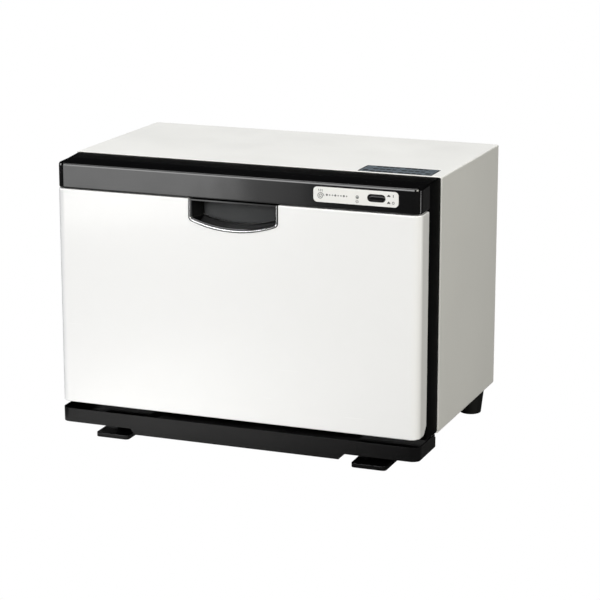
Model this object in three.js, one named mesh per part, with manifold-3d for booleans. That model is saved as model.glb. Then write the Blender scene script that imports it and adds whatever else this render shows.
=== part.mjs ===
// Countertop hot towel cabinet: a wrapped white casing round a heated chamber, a black front frame with a
// control header, a white drop-down door with a recessed pull, and a black drip tray under the door.
// Millimetres, +Z up, front towards -Y. The origin is on the floor, under the middle of the cabinet.
import * as THREE from "three";
import { mergeVertices } from "three/addons/utils/BufferGeometryUtils.js";
import Module from "manifold-3d";

const wasm = await Module();
wasm.setup();

// ---- driving dimensions ----
const width = 450, depth = 285, height = 330;
const sheet = 1.2; // painted steel
const wall = 2.4; // moulded plastic
const gap = 0.3; // between pieces that touch
const halfW = width / 2, backY = depth / 2;

const casing = { rimY: -79, bottom: 34, top: height, bend: 2, flange: 12 };
const frame = { faceY: -109.3, halfRim: 223, halfFace: 220.6, bottom: 34.3, topRim: 329.2, slope: 0.036,
  corner: 1.6 };
const mouth = { half: 187.5, bottom: 72, top: 282, corner: 12, lipY: -84.6 };
const header = { faceY: -141.4, half: 220.6, bottom: 298.3, corner: 9.7, wall: 2.2 };
const panel = { x0: 96.5, x1: 195.5, z0: 304.9, z1: 322.1, corner: 4.6, faceY: -141.6, thick: 0.8 };
const knob = { x: 170, z: 313.8, r: 3.9, half: 10.1, pivotY: -137.2, rise: 4.5, tilt: 5 };
const lamp = { x: 147.8, z: 313.4, r: 1.75 };
const door = { faceY: -141.6, rearY: -112, half: 221.2, bottom: 42, top: 297.1, corner: 10.6,
  skin: 1.6, bevel: 10 };
const hinge = { x: 160, y: -123.5, z: 55, pin: 2, eye: 5, arm: 4 };
const pull = { half: 54.5, shoulder: 274.4, foot: 271.4, tip: 262.1, bead: 2.4, proud: 0.9, wall: 1.5,
  backY: -117.5 };
const tray = { faceY: -140.9, backY: -80.2, half: 222.3, top: 32.7, rearTop: 29, outer: 17, middle: 10,
  corner: 11, bend: 1.6, step: 127, rise: 5.5, wall: 1.5 };
const chamber = { half: 190, bottom: 70.5, top: 283.5, frontY: -84.3, backY: 119, wall: 1, corner: 14 };
const rack = { half: 184, y0: -58, y1: 106, z: 176, rimR: 2, wireR: 1.3, wires: 17, railTop: 173.6 };
const frontFoot = { x: 160, width: 42, y0: -134, y1: -38, pad: 5.2, screwY: -58 };
const rearFoot = { x: 202, y: 123, rTop: 16.5, rBottom: 13 };
const rearPanelY = 138.3;
const label = { x0: 124, x1: 211.5, y0: -77, y1: -40, recess: 0.4 }; // a film in a shallow pressed field

// ---- finishes ----
const finish = (color, roughness, metalness = 0) =>
  new THREE.MeshStandardMaterial({ color, roughness, metalness });
const paint = finish(0xe9e9e7, 0.35);
const doorWhite = finish(0xf4f3f0, 0.3);
const glossBlack = finish(0x0c0c0d, 0.18);
const satinBlack = finish(0x161617, 0.35);
const rubber = finish(0x101010, 0.8);
const zinc = finish(0xb9bcc0, 0.4, 0.9);
const chrome = finish(0xd8dadc, 0.12, 1);
const aluminium = finish(0xc9cccf, 0.35, 0.9);
const panelWhite = finish(0xf1f1ee, 0.4);
const silicone = finish(0x3a3c3e, 0.6);
const foam = finish(0xd9d6cd, 0.95);
const foil = finish(0xb46f35, 0.5);
const lens = finish(0x8a8f90, 0.15);
const labelGrey = finish(0x6f7c84, 0.5);
const bakelite = finish(0x2b2622, 0.5);

// ---- solids ----
// Each axis names the directions of a shape's first, second and extruded coordinate.
const vec = (x, y, z) => new THREE.Vector3(x, y, z);
const turned = {
  x: new THREE.Matrix4().makeBasis(vec(0, 1, 0), vec(0, 0, 1), vec(1, 0, 0)),
  y: new THREE.Matrix4().makeBasis(vec(1, 0, 0), vec(0, 0, 1), vec(0, -1, 0)),
  z: new THREE.Matrix4(),
};

function toSolid(geometry) {
  const bare = geometry.clone().deleteAttribute("normal").deleteAttribute("uv");
  const merged = mergeVertices(bare, 1e-4);
  return new wasm.Manifold(new wasm.Mesh({
    numProp: 3,
    vertProperties: new Float32Array(merged.attributes.position.array),
    triVerts: new Uint32Array(merged.index.array),
  }));
}

function prism(axis, shape, low, high, curveSegments = 3) {
  const made = new THREE.ExtrudeGeometry(shape, { depth: high - low, bevelEnabled: false, curveSegments });
  made.translate(0, 0, axis === "y" ? -high : low).applyMatrix4(turned[axis]);
  return made;
}

const block = (x0, x1, y0, y1, z0, z1) =>
  toSolid(new THREE.BoxGeometry(x1 - x0, y1 - y0, z1 - z0)
    .translate((x0 + x1) / 2, (y0 + y1) / 2, (z0 + z1) / 2));

const bar = (axis, shape, low, high, segments) => toSolid(prism(axis, shape, low, high, segments));

const rod = (axis, r, low, high, a, b, segments = 8) =>
  bar(axis, new THREE.Shape().absarc(a, b, r, 0, 2 * Math.PI), low, high, segments);

const polygon = (points) => new THREE.Shape(points.map(([a, b]) => new THREE.Vector2(a, b)));

const mirrorX = (s, [low, high]) => (s > 0 ? [low, high] : [-high, -low]);

// A rectangle whose four corners have the radii given: bottom left, bottom right, top right, top left.
function rounded(a0, b0, a1, b1, r, radii = [r, r, r, r]) {
  const [bl, br, tr, tl] = radii;
  const s = new THREE.Shape().moveTo(a0 + bl, b0).lineTo(a1 - br, b0);
  if (br) s.absarc(a1 - br, b0 + br, br, -Math.PI / 2, 0);
  s.lineTo(a1, b1 - tr);
  if (tr) s.absarc(a1 - tr, b1 - tr, tr, 0, Math.PI / 2);
  s.lineTo(a0 + tl, b1);
  if (tl) s.absarc(a0 + tl, b1 - tl, tl, Math.PI / 2, Math.PI);
  s.lineTo(a0, b0 + bl);
  if (bl) s.absarc(a0 + bl, b0 + bl, bl, Math.PI, 1.5 * Math.PI);
  return s;
}

const stadium = (x, z, half, r) => rounded(x - half, z - r, x + half, z + r, r - 0.01);

const group = new THREE.Group();

function add(name, solid, material) {
  const { vertProperties, triVerts } = solid.getMesh();
  const geometry = new THREE.BufferGeometry();
  geometry.setAttribute("position", new THREE.BufferAttribute(vertProperties, 3));
  geometry.setIndex(new THREE.BufferAttribute(triVerts, 1));
  geometry.computeVertexNormals();
  const mesh = new THREE.Mesh(geometry, material);
  mesh.name = name;
  group.add(mesh);
}

const sides = [["left", -1], ["right", 1]];

// ---- casing ----
// One sheet folded over the top and down both sides, with a flange along each lower and rear edge.
function casingShell() {
  const { rimY, bottom, top, bend, flange } = casing;
  const inner = halfW - sheet;
  const outline = rounded(-halfW, bottom, halfW, top, 0, [0, 0, bend, bend]);
  const hollow = rounded(-inner, bottom + sheet, inner, top - sheet, 0, [0, 0, bend - sheet, bend - sheet]);
  let shell = bar("y", outline, rimY, backY).subtract(bar("y", hollow, rimY - 1, backY + 1));
  shell = shell.subtract(block(-inner + flange, inner - flange, rimY - 1, backY + 1, bottom - 1, bottom + 2));
  shell = shell.subtract(block(label.x0 - gap, label.x1 + gap, label.y0 - gap, label.y1 + gap,
    top - label.recess, top + 1));
  const lipY = rearPanelY - gap;
  for (const [, s] of sides) {
    const [x0, x1] = mirrorX(s, [inner - flange, inner]);
    shell = shell.add(block(x0, x1, lipY - sheet, lipY, bottom, top - sheet));
    for (const z of rearScrewZ) shell = shell.subtract(rod("y", 1.9, lipY - 5, lipY + 1, s * rearScrewX, z));
  }
  return shell;
}

const rearScrewX = halfW - 8, rearScrewZ = [52, 312];
const gland = { x: -150, z: 62, r: 7.6 };

function backPanel() {
  const half = halfW - sheet - gap;
  let plate = block(-half, half, rearPanelY, rearPanelY + sheet, casing.bottom + 3, casing.top - sheet - gap);
  const slot = { pitch: 16, count: 10, width: 4, length: 34 };
  for (const z of [86, 262]) {
    for (let i = 0; i < slot.count; i++) {
      const x = (i - (slot.count - 1) / 2) * slot.pitch;
      plate = plate.subtract(block(x - slot.width / 2, x + slot.width / 2, rearPanelY - 1, rearPanelY + 3,
        z - slot.length / 2, z + slot.length / 2));
    }
  }
  for (const [, s] of sides)
    for (const z of rearScrewZ)
      plate = plate.subtract(rod("y", 1.9, rearPanelY - 1, rearPanelY + 3, s * rearScrewX, z));
  return plate.subtract(rod("y", gland.r + gap, rearPanelY - 1, rearPanelY + 3, gland.x, gland.z));
}

function basePlate() {
  const z = casing.bottom + sheet + gap;
  let plate = block(-halfW + 2, halfW - 2, casing.rimY + 1, rearPanelY - 3, z, z + sheet);
  for (const [, s] of sides) {
    plate = plate.subtract(rod("z", 2.3, z - 1, z + 3, s * frontFoot.x, frontFoot.screwY));
    plate = plate.subtract(rod("z", 2.3, z - 1, z + 3, s * rearFoot.x, rearFoot.y));
  }
  return plate;
}

add("casing_shell", casingShell(), paint);
add("back_panel", backPanel(), paint);
add("base_plate", basePlate(), zinc);
add("info_label",
      block(label.x0, label.x1, label.y0, label.y1, height - label.recess + 0.05, height), labelGrey);

for (const [side, s] of sides) {
  rearScrewZ.forEach((z, i) => {
    const y = rearPanelY + sheet;
    const head = rod("y", 3.6, y + 0.1, y + 2.2, s * rearScrewX, z);
    add(`back_screw_${side}_${i ? "upper" : "lower"}`,
      head.add(rod("y", 1.6, rearPanelY - 8, y + 1, s * rearScrewX, z)), zinc);
  });
}

function cordGland() {
  const y = rearPanelY + sheet;
  const flange = rod("y", gland.r + 3.4, y + 0.1, y + 2.6, gland.x, gland.z, 10);
  const body = rod("y", gland.r, rearPanelY - 7, y + 1, gland.x, gland.z, 10);
  return flange.add(body).subtract(rod("y", 3.6, rearPanelY - 9, y + 4, gland.x, gland.z, 10));
}
add("cord_gland", cordGland(), rubber);

// ---- front frame ----
// The frame narrows towards the front: at the face it is halfFace wide, and its top falls by the slope.
function taper(geometry) {
  const p = geometry.attributes.position;
  const run = casing.rimY - frame.faceY;
  for (let i = 0; i < p.count; i++) {
    const t = Math.max(0, (casing.rimY - p.getY(i)) / run);
    p.setX(i, p.getX(i) * (1 - t * (1 - frame.halfFace / frame.halfRim)));
    if (p.getZ(i) > height / 2) p.setZ(i, p.getZ(i) - t * run * frame.slope);
  }
  return geometry;
}

const rectRing = (half, z0, z1, r) => rounded(-half, z0, half, z1, r);
const catchBox = { x0: 200.5, x1: 213.5, z0: 258, z1: 282 };

function frontFrame() {
  const { faceY, halfRim, bottom, topRim, corner } = frame;
  const { rimY } = casing;
  const { half, lipY } = mouth;
  const spigotY = rimY + 13;
  const body = (inset, y0, y1) => {
    const outline = rectRing(halfRim - inset, bottom + inset, topRim - inset, corner - inset / 2);
    return toSolid(taper(prism("y", outline, y0, y1)));
  };
  const spigot = rectRing(halfRim - 0.2, casing.bottom + 5, casing.top - sheet - gap, 3);
  const spigotHole = rectRing(halfRim - 2.2, casing.bottom + 7, casing.top - sheet - gap - 2, 2);
  let made = body(0, faceY, rimY - gap).subtract(body(wall, faceY + wall, rimY + 1));
  made = made.add(bar("y", spigot, rimY - 4, spigotY).subtract(bar("y", spigotHole, rimY - 5, spigotY + 1)));
  const sleeve = rectRing(half + wall, mouth.bottom - wall, mouth.top + wall, mouth.corner + wall);
  made = made.add(bar("y", sleeve, faceY, lipY));
  made = made.subtract(bar("y", rectRing(half, mouth.bottom, mouth.top, mouth.corner), faceY - 1, lipY + 1));
  for (const [, s] of sides) {
    const [a0, a1] = mirrorX(s, [hinge.x - hinge.arm / 2 - 0.5, hinge.x + hinge.arm / 2 + 0.5]);
    const reach = hinge.eye + 0.5;
    made = made.subtract(block(a0, a1, faceY - 1, faceY + wall + 1, hinge.z - reach, hinge.z + reach));
    const [c0, c1] = mirrorX(s, [catchBox.x0 - gap, catchBox.x1 + gap]);
    made = made.subtract(block(c0, c1, faceY - 1, faceY + wall + 1, catchBox.z0 - gap, catchBox.z1 + gap));
  }
  return made;
}

// The header's plan: straight back edge, rounded front corners.
const plan = (half, y0, y1, corner) => rounded(-half, y0, half, y1, 0, [corner, corner, 0, 0]);

function headerBlock(inset, backEdge) {
  const { faceY, half, bottom, corner } = header;
  const top = 320;
  const made = prism("z", plan(half - inset, faceY + inset, backEdge, corner - inset), bottom + inset, top, 4);
  const p = made.attributes.position;
  for (let i = 0; i < p.count; i++)
    if (p.getZ(i) > top - 1)
      p.setZ(i, frame.topRim - inset - frame.slope * (casing.rimY - p.getY(i)));
  return toSolid(made);
}

function controlHeader() {
  const backEdge = frame.faceY - gap;
  const front = header.faceY;
  const through = (shape) => bar("y", shape, front - 2, front + 5, 4);
  let made = headerBlock(0, backEdge).subtract(headerBlock(header.wall, backEdge + 2));
  made = made.subtract(bar("y", rounded(panel.x0 - 0.2, panel.z0 - 0.2, panel.x1 + 0.2, panel.z1 + 0.2,
    panel.corner), front - 1, panel.faceY + panel.thick + gap, 3));
  made = made.subtract(through(stadium(knob.x, knob.z, knob.half + 0.7, knob.r + 0.7)));
  return made.subtract(rod("y", lamp.r + gap, front - 2, front + 5, lamp.x, lamp.z));
}

function controlPanel() {
  const { x0, x1, z0, z1, corner, faceY, thick } = panel;
  return bar("y", rounded(x0, z0, x1, z1, corner), faceY, faceY + thick, 3)
    .subtract(bar("y", stadium(knob.x, knob.z, knob.half + 0.6, knob.r + 0.6), faceY - 1, faceY + 2, 4))
    .subtract(rod("y", lamp.r + gap, faceY - 1, faceY + 2, lamp.x, lamp.z));
}

function switchHousing() {
  const y = header.faceY + header.wall + gap;
  const { x, z, half, r } = knob;
  return block(x - half - 3, x + half + 3, y, y + 17, z - r - 3.4, z + r + 3.4)
    .subtract(block(x - half - 0.8, x + half + 0.8, y - 1, y + 8, z - r - 1.3, z + r + 1.3));
}

// The rocker stands tilted in its off position, its upper half proud.
function switchRocker() {
  const { x, z, half, r, pivotY, rise, tilt } = knob;
  const geometry = prism("y", stadium(x, z, half, r), pivotY - rise, pivotY + 2, 4);
  geometry.translate(0, -pivotY, -z).rotateX(THREE.MathUtils.degToRad(tilt)).translate(0, pivotY, z);
  return toSolid(geometry);
}

add("front_frame", frontFrame(), glossBlack);
add("control_header", controlHeader(), glossBlack);
add("control_panel", controlPanel(), panelWhite);
add("switch_housing", switchHousing(), satinBlack);
add("switch_rocker", switchRocker(), glossBlack);
add("power_lamp", rod("y", lamp.r, header.faceY - 0.8, header.faceY + 9, lamp.x, lamp.z), lens);

function doorSeal() {
  const { faceY } = frame;
  const ring = (out) => rectRing(mouth.half + out, mouth.bottom - out, mouth.top + out, mouth.corner + out);
  const opening = bar("y", ring(1.5), door.rearY - 1, faceY + 1);
  return bar("y", ring(9), door.rearY + gap, faceY - gap).subtract(opening);
}
add("door_seal", doorSeal(), silicone);

for (const [side, s] of sides) {
  const [x0, x1] = mirrorX(s, [catchBox.x0, catchBox.x1]);
  const { z0, z1 } = catchBox;
  add(`magnet_catch_${side}`, block(x0, x1, frame.faceY - 1.5, frame.faceY + 9, z0, z1), zinc);
}

// ---- heated chamber ----
function chamberTank() {
  const { half, bottom, top, frontY, backY: rear, wall: t, corner } = chamber;
  const ring = (out) => rectRing(half + out, bottom - out, top + out, corner + out);
  return bar("y", ring(t), frontY, rear + t, 4)
    .add(bar("y", ring(13), frontY, frontY + t, 4))
    .subtract(bar("y", ring(0), frontY - 1, rear, 4));
}

function shelfRail(s) {
  const { half, frontY, backY: rear } = chamber;
  const [x0, x1] = mirrorX(s, [half - 13, half - gap]);
  const [w0, w1] = mirrorX(s, [half - gap - 1.5, half - gap]);
  const { railTop } = rack;
  return block(x0, x1, frontY + 6, rear - 6, railTop - 1.5, railTop)
    .add(block(w0, w1, frontY + 6, rear - 6, railTop - 1.5, railTop + 10));
}

add("chamber", chamberTank(), aluminium);
for (const [side, s] of sides) add(`shelf_rail_${side}`, shelfRail(s), aluminium);

const heaterOut = chamber.wall + gap, heaterThick = 1;
const foamIn = heaterOut + heaterThick + gap;
const foamY = [chamber.frontY + 3, chamber.backY];

for (const [side, s] of sides) {
  const [h0, h1] = mirrorX(s, [chamber.half + heaterOut, chamber.half + heaterOut + heaterThick]);
  add(`heater_${side}`, block(h0, h1, -66, 104, 92, 262), foil);
  const [f0, f1] = mirrorX(s, [chamber.half + foamIn, chamber.half + foamIn + 13]);
  add(`insulation_${side}`, block(f0, f1, ...foamY, 82, 272), foam);
}
const floorOut = chamber.bottom - foamIn;
add("heater_bottom", block(-165, 165, -66, 104, floorOut + gap, floorOut + gap + heaterThick), foil);
add("insulation_bottom", block(-168, 168, ...foamY, floorOut - 13, floorOut), foam);
add("insulation_top", block(-176, 176, ...foamY, chamber.top + 1.3, chamber.top + 15), foam);

const cutout = { x0: 26, x1: 124, z0: 102, z1: 138, y: chamber.backY + 1 + gap };
add("insulation_back", block(-176, 176, cutout.y, cutout.y + 12, 86, 268)
  .subtract(block(cutout.x0, cutout.x1, cutout.y - 1, cutout.y + 20, cutout.z0, cutout.z1)), foam);
add("thermostat", rod("y", 8, cutout.y, cutout.y + 7, 56, 120)
  .add(rod("y", 4, cutout.y + 6, cutout.y + 11, 56, 120)), bakelite);
add("thermal_fuse", rod("x", 3, 84, 104, cutout.y + 3.4, 120), chrome);
const baseTop = casing.bottom + 2 * sheet + gap;
add("terminal_block", block(-170, -132, 100, 118, baseTop + gap, baseTop + 13), panelWhite);

// ---- wire shelf ----
function wireShelf() {
  const { half, y0, y1, z, rimR, wireR, wires } = rack;
  let shelf = rod("x", rimR, -half, half, y0, z, 4).add(rod("x", rimR, -half, half, y1, z, 4));
  for (let i = 0; i < wires; i++) {
    const end = i === 0 || i === wires - 1;
    const x = -half + rimR + (i * 2 * (half - rimR)) / (wires - 1);
    const r = end ? rimR : wireR;
    shelf = shelf.add(rod("y", r, y0, y1, x, z, end ? 4 : 3));
  }
  return shelf;
}
add("wire_shelf", wireShelf(), chrome);

// ---- hinge arms, fixed behind the frame's face ----
function hingeBracket(s) {
  const { x, y, z, pin, eye, arm } = hinge;
  const [a0, a1] = mirrorX(s, [x - arm / 2, x + arm / 2]);
  const [b0, b1] = mirrorX(s, [x - 15, x + 15]);
  const plateY = frame.faceY + wall + gap;
  return block(b0, b1, plateY, plateY + 3, z - 12, z + 12)
    .add(block(a0, a1, y, plateY + 1, z - eye, z + eye))
    .add(rod("x", eye, a0, a1, y, z, 8))
    .subtract(rod("x", pin + gap, a0 - 1, a1 + 1, y, z, 8));
}
for (const [side, s] of sides) add(`hinge_bracket_${side}`, hingeBracket(s), zinc);

// ---- door ----
// The pull's outline: straight sides, small shoulders and a shallow arc below, drawn in by inset.
function pullOutline(inset, top) {
  const { half, shoulder, foot, tip } = pull;
  const a = half - inset, b = half - 3 - inset * 0.7;
  const sag = foot - tip, radius = (b * b + sag * sag) / (2 * sag);
  const centre = tip + inset + radius;
  const end = Math.asin(b / radius);
  return new THREE.Shape()
    .moveTo(-a, top)
    .lineTo(-a, shoulder + inset * 0.6)
    .quadraticCurveTo(-a, foot + inset, -b, foot + inset)
    .absarc(0, centre, radius, 1.5 * Math.PI - end, 1.5 * Math.PI + end)
    .quadraticCurveTo(a, foot + inset, a, shoulder + inset * 0.6)
    .lineTo(a, top);
}

function armSlot(s, z1) {
  const [x0, x1] = mirrorX(s, [hinge.x - hinge.arm / 2 - 1.4, hinge.x + hinge.arm / 2 + 1.4]);
  return block(x0, x1, hinge.y - hinge.eye - 0.6, door.rearY + 1, door.bottom - 1, z1);
}

function doorPanel() {
  const { faceY, rearY, half, bottom, top, corner, skin, bevel } = door;
  const shell = bar("z", plan(half, faceY, rearY, corner), bottom, top, 5);
  const hollow = bar("z", plan(half - skin, faceY + skin, rearY + 1, corner - skin), bottom + skin, top - skin, 5);
  const heel = polygon([[rearY - bevel, bottom - 1], [rearY + 1, bottom - 1], [rearY + 1, bottom + bevel + 1],
    [rearY, bottom + bevel], [rearY - bevel, bottom]]);
  let made = shell.subtract(hollow).subtract(bar("x", heel, -halfW, halfW));
  made = made.subtract(bar("y", pullOutline(-gap, top + 5), faceY - 1, rearY - 2, 6));
  for (const [, s] of sides) made = made.subtract(armSlot(s, bottom + skin + 1));
  return made;
}

function doorLiner() {
  const { rearY, half, bottom, top, skin, bevel } = door;
  const t = 1.6;
  const section = polygon([
    [rearY, top - skin - gap], [rearY - t, top - skin - gap], [rearY - t, bottom + bevel + 1],
    [rearY - bevel - 0.4, bottom + skin + gap], [rearY - bevel + 1.6, bottom + 1.6], [rearY, bottom + bevel],
  ]);
  let made = bar("x", section, -half + skin + gap, half - skin - gap);
  for (const [, s] of sides) made = made.subtract(armSlot(s, hinge.z + hinge.eye + 0.6));
  return made;
}

function handleCup() {
  const { bead, wall: t, backY: rear } = pull;
  const top = door.top - 0.2;
  const outer = bar("y", pullOutline(bead + gap, top), door.faceY + 0.2, rear, 6);
  return outer.subtract(bar("y", pullOutline(bead + gap + t, top - t), door.faceY - 1, rear - t, 6));
}

function handleTrim() {
  const { bead } = pull;
  const y0 = door.faceY - pull.proud, y1 = door.faceY + 1.4;
  return bar("y", pullOutline(0, door.top), y0, y1, 6)
    .subtract(bar("y", pullOutline(bead, door.top + 2), y0 - 1, y1 + 1, 6));
}

function doorInsulation() {
  const y0 = door.faceY + door.skin + gap, y1 = door.rearY - 2.2;
  return block(-216, 216, y0, y1, 76, 292).subtract(block(-58, 58, y0 - 1, y1 + 1, 258, 294))
    .subtract(block(-219, -209, y0 - 1, y0 + 8, 70, 294))
    .subtract(block(209, 219, y0 - 1, y0 + 8, 70, 294));
}

function hingeBlock(s) {
  const { x, y, z, pin, arm } = hinge;
  const rear = door.rearY - 2.2, low = door.bottom + door.skin + gap, heel = door.rearY - door.bevel;
  const section = polygon([[y - 14, low + 2], [heel - 1, low + 2], [rear, low + 11],
    [rear, z + 15], [y - 14, z + 15]]);
  const [b0, b1] = mirrorX(s, [x - 7, x + 7]);
  const [a0, a1] = mirrorX(s, [x - arm / 2 - 1, x + arm / 2 + 1]);
  return bar("x", section, b0, b1)
    .subtract(block(a0, a1, y - 10, rear + 1, low, z + 16))
    .subtract(rod("x", pin + gap, b0 - 1, b1 + 1, y, z, 8));
}

add("door_panel", doorPanel(), doorWhite);
add("door_liner", doorLiner(), panelWhite);
add("door_insulation", doorInsulation(), foam);
add("handle_cup", handleCup(), glossBlack);
add("handle_trim", handleTrim(), chrome);
for (const [side, s] of sides) {
  add(`hinge_block_${side}`, hingeBlock(s), satinBlack);
  const [p0, p1] = mirrorX(s, [hinge.x - 8, hinge.x + 8]);
  add(`hinge_pin_${side}`, rod("x", hinge.pin, p0, p1, hinge.y, hinge.z, 8), zinc);
  const [x0, x1] = mirrorX(s, [catchBox.x0, catchBox.x1]);
  const { z0, z1 } = catchBox;
  add(`strike_plate_${side}`, block(x0, x1, door.rearY + 0.05, door.rearY + 0.75, z0, z1), zinc);
}

// ---- drip tray ----
const tongue = { x: 100, half: 8, y1: -12, z0: 22.5, z1: 25 };

// Two steps lower the middle of the trough between the front feet.
function trayBlock(inset, top) {
  const { faceY, backY: rear, half, outer, middle, corner, step, rise } = tray;
  const r = tray.bend - inset;
  const section = new THREE.Shape()
    .moveTo(-half + inset + r, outer + inset)
    .lineTo(-step - rise, outer + inset).lineTo(-step, middle + inset)
    .lineTo(step, middle + inset).lineTo(step + rise, outer + inset)
    .lineTo(half - inset - r, outer + inset)
    .absarc(half - inset - r, outer + inset + r, r, -Math.PI / 2, 0)
    .lineTo(half - inset, top).lineTo(-half + inset, top).lineTo(-half + inset, outer + inset + r)
    .absarc(-half + inset + r, outer + inset + r, r, Math.PI, 1.5 * Math.PI);
  return bar("y", section, faceY - 1, rear + 1, 3)
    .intersect(bar("z", plan(half - inset, faceY + inset, rear - inset, corner - inset), 0, top, 4));
}

function dripTray() {
  const { backY: rear, half, top, rearTop, wall: t } = tray;
  let made = trayBlock(0, top).subtract(trayBlock(t, top + 1));
  made = made.subtract(block(-half - 1, half + 1, rear - t - 1, rear + 1, rearTop, top + 1));
  for (const [, s] of sides) {
    const [x0, x1] = mirrorX(s, [tongue.x - tongue.half, tongue.x + tongue.half]);
    made = made.add(block(x0, x1, rear - t / 2, tongue.y1, tongue.z0, tongue.z1));
  }
  return made;
}

function trayRunner(s) {
  const [x0, x1] = mirrorX(s, [tongue.x - tongue.half - 3, tongue.x + tongue.half + 3]);
  const reach = tongue.half + 0.5;
  const [t0, t1] = mirrorX(s, [tongue.x - reach, tongue.x + reach]);
  return block(x0, x1, -75, -6, tongue.z0 - 3, casing.bottom + sheet)
    .subtract(block(t0, t1, -76, -5, tongue.z0 - 0.4, tongue.z1 + 0.4))
    .subtract(block(t0 + 3, t1 - 3, -76, -5, tongue.z0 - 4, tongue.z0));
}

add("drip_tray", dripTray(), glossBlack);
for (const [side, s] of sides) add(`tray_runner_${side}`, trayRunner(s), zinc);

// ---- feet ----
const footTop = casing.bottom - gap;
const screwSeat = 20;

function screwHole(x, y) {
  return rod("z", 5.4, -1, screwSeat, x, y).add(rod("z", 2.3, screwSeat - 1, footTop + 1, x, y));
}

function frontFootBar(s) {
  const { x, width: w, y0, y1, pad, screwY } = frontFoot;
  const section = polygon([[y0, 0], [y1, 0], [y1, footTop], [casing.rimY + 2, footTop], [casing.rimY + 2, 14],
    [-86, pad + 0.8], [y0, pad]]);
  return bar("x", section, s * x - w / 2, s * x + w / 2)
    .intersect(bar("z", rounded(s * x - w / 2, y0, s * x + w / 2, y1, 4.5), -1, footTop + 1, 3))
    .subtract(screwHole(s * x, screwY));
}

function rearFootCone(s) {
  const { x, y, rTop, rBottom } = rearFoot;
  const profile = [[0, 0], [rBottom - 1, 0], [rBottom, 1], [rTop, footTop - 3], [rTop, footTop], [0, footTop]];
  const cone = new THREE.LatheGeometry(profile.map(([r, z]) => new THREE.Vector2(r, z)), 24);
  return toSolid(cone.rotateX(Math.PI / 2).translate(s * x, y, 0)).subtract(screwHole(s * x, y));
}

function footScrew(x, y) {
  const head = rod("z", 4.2, screwSeat - 3.2, screwSeat - 0.2, x, y);
  return head.add(rod("z", 1.9, screwSeat - 1, footTop + 6, x, y));
}

for (const [side, s] of sides) {
  add(`front_foot_${side}`, frontFootBar(s), satinBlack);
  add(`rear_foot_${side}`, rearFootCone(s), rubber);
  add(`front_foot_screw_${side}`, footScrew(s * frontFoot.x, frontFoot.screwY), zinc);
  add(`rear_foot_screw_${side}`, footScrew(s * rearFoot.x, rearFoot.y), zinc);
}

export default group;
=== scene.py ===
import math
import bmesh
import bpy
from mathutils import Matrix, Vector


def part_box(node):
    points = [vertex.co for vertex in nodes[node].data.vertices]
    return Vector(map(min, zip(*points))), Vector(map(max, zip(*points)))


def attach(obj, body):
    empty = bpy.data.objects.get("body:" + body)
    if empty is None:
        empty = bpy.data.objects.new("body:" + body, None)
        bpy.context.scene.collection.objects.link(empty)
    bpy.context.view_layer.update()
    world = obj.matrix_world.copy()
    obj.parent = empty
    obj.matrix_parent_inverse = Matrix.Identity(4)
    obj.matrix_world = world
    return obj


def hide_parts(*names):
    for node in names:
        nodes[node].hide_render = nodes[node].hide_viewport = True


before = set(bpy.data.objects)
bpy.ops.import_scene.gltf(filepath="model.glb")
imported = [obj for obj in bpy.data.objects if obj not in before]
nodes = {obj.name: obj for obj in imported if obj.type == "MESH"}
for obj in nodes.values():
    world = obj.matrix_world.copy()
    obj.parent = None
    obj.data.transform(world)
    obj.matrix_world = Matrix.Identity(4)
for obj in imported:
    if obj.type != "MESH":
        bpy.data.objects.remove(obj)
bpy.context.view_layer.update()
mm = 0.001


def say(text):
    print("cabinet:", text)


def edges(node):
    # a node's box in millimetres, as six numbers
    low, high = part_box(node)
    return [v / mm for v in (low.x, high.x, low.y, high.y, low.z, high.z)]


def centreOf(node):
    x0, x1, y0, y1, z0, z1 = edges(node)
    return (x0 + x1) / 2, (y0 + y1) / 2, (z0 + z1) / 2


# outlines, in millimetres
def arc(cx, cy, r, start, end, steps):
    return [(cx + r * math.cos(math.radians(start + (end - start) * i / steps)),
             cy + r * math.sin(math.radians(start + (end - start) * i / steps))) for i in range(steps + 1)]


def roundRect(x0, y0, x1, y1, radii, steps=6):
    # radii run from the lower left corner, counter-clockwise
    if isinstance(radii, (int, float)):
        radii = [radii] * 4
    bl, br, tr, tl = [max(r, 0.02) for r in radii]
    return (arc(x0 + bl, y0 + bl, bl, 180, 270, steps) + arc(x1 - br, y0 + br, br, 270, 360, steps)
            + arc(x1 - tr, y1 - tr, tr, 0, 90, steps) + arc(x0 + tl, y1 - tl, tl, 90, 180, steps))


def insetRect(x0, y0, x1, y1, corner, steps=6):
    # a rounded rectangle as a function of its inset
    return lambda i: roundRect(x0 + i, y0 + i, x1 - i, y1 - i, corner - i, steps)


def circle(cx, cy, r, steps=32):
    return arc(cx, cy, r, 0, 360, steps)[:-1]


def fillets(low, high, rLow, rHigh, steps=4):
    # inset and level pairs that round both ends of a loft
    out = []
    for k in range(steps + 1 if rLow else 1):
        a = math.pi / 2 * k / steps if rLow else math.pi / 2
        out.append((rLow * (1 - math.sin(a)), low + rLow * (1 - math.cos(a))))
    for k in range(steps + 1 if rHigh else 1):
        a = math.pi / 2 * k / steps
        out.append((rHigh * (1 - math.cos(a)), high - rHigh * (1 - math.sin(a)) if rHigh else high))
    return out


def place(axis, a, b, level):
    x, y, z = {"x": (level, a, b), "y": (a, level, b), "z": (a, b, level)}[axis]
    return Vector((x, y, z)) * mm


def newObject(name, bm, closed=True):
    bmesh.ops.remove_doubles(bm, verts=bm.verts, dist=1e-7)
    if closed:
        bmesh.ops.recalc_face_normals(bm, faces=bm.faces)
    mesh = bpy.data.meshes.new(name)
    bm.to_mesh(mesh)
    bm.free()
    obj = bpy.data.objects.new(name, mesh)
    bpy.context.scene.collection.objects.link(obj)
    return obj


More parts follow.
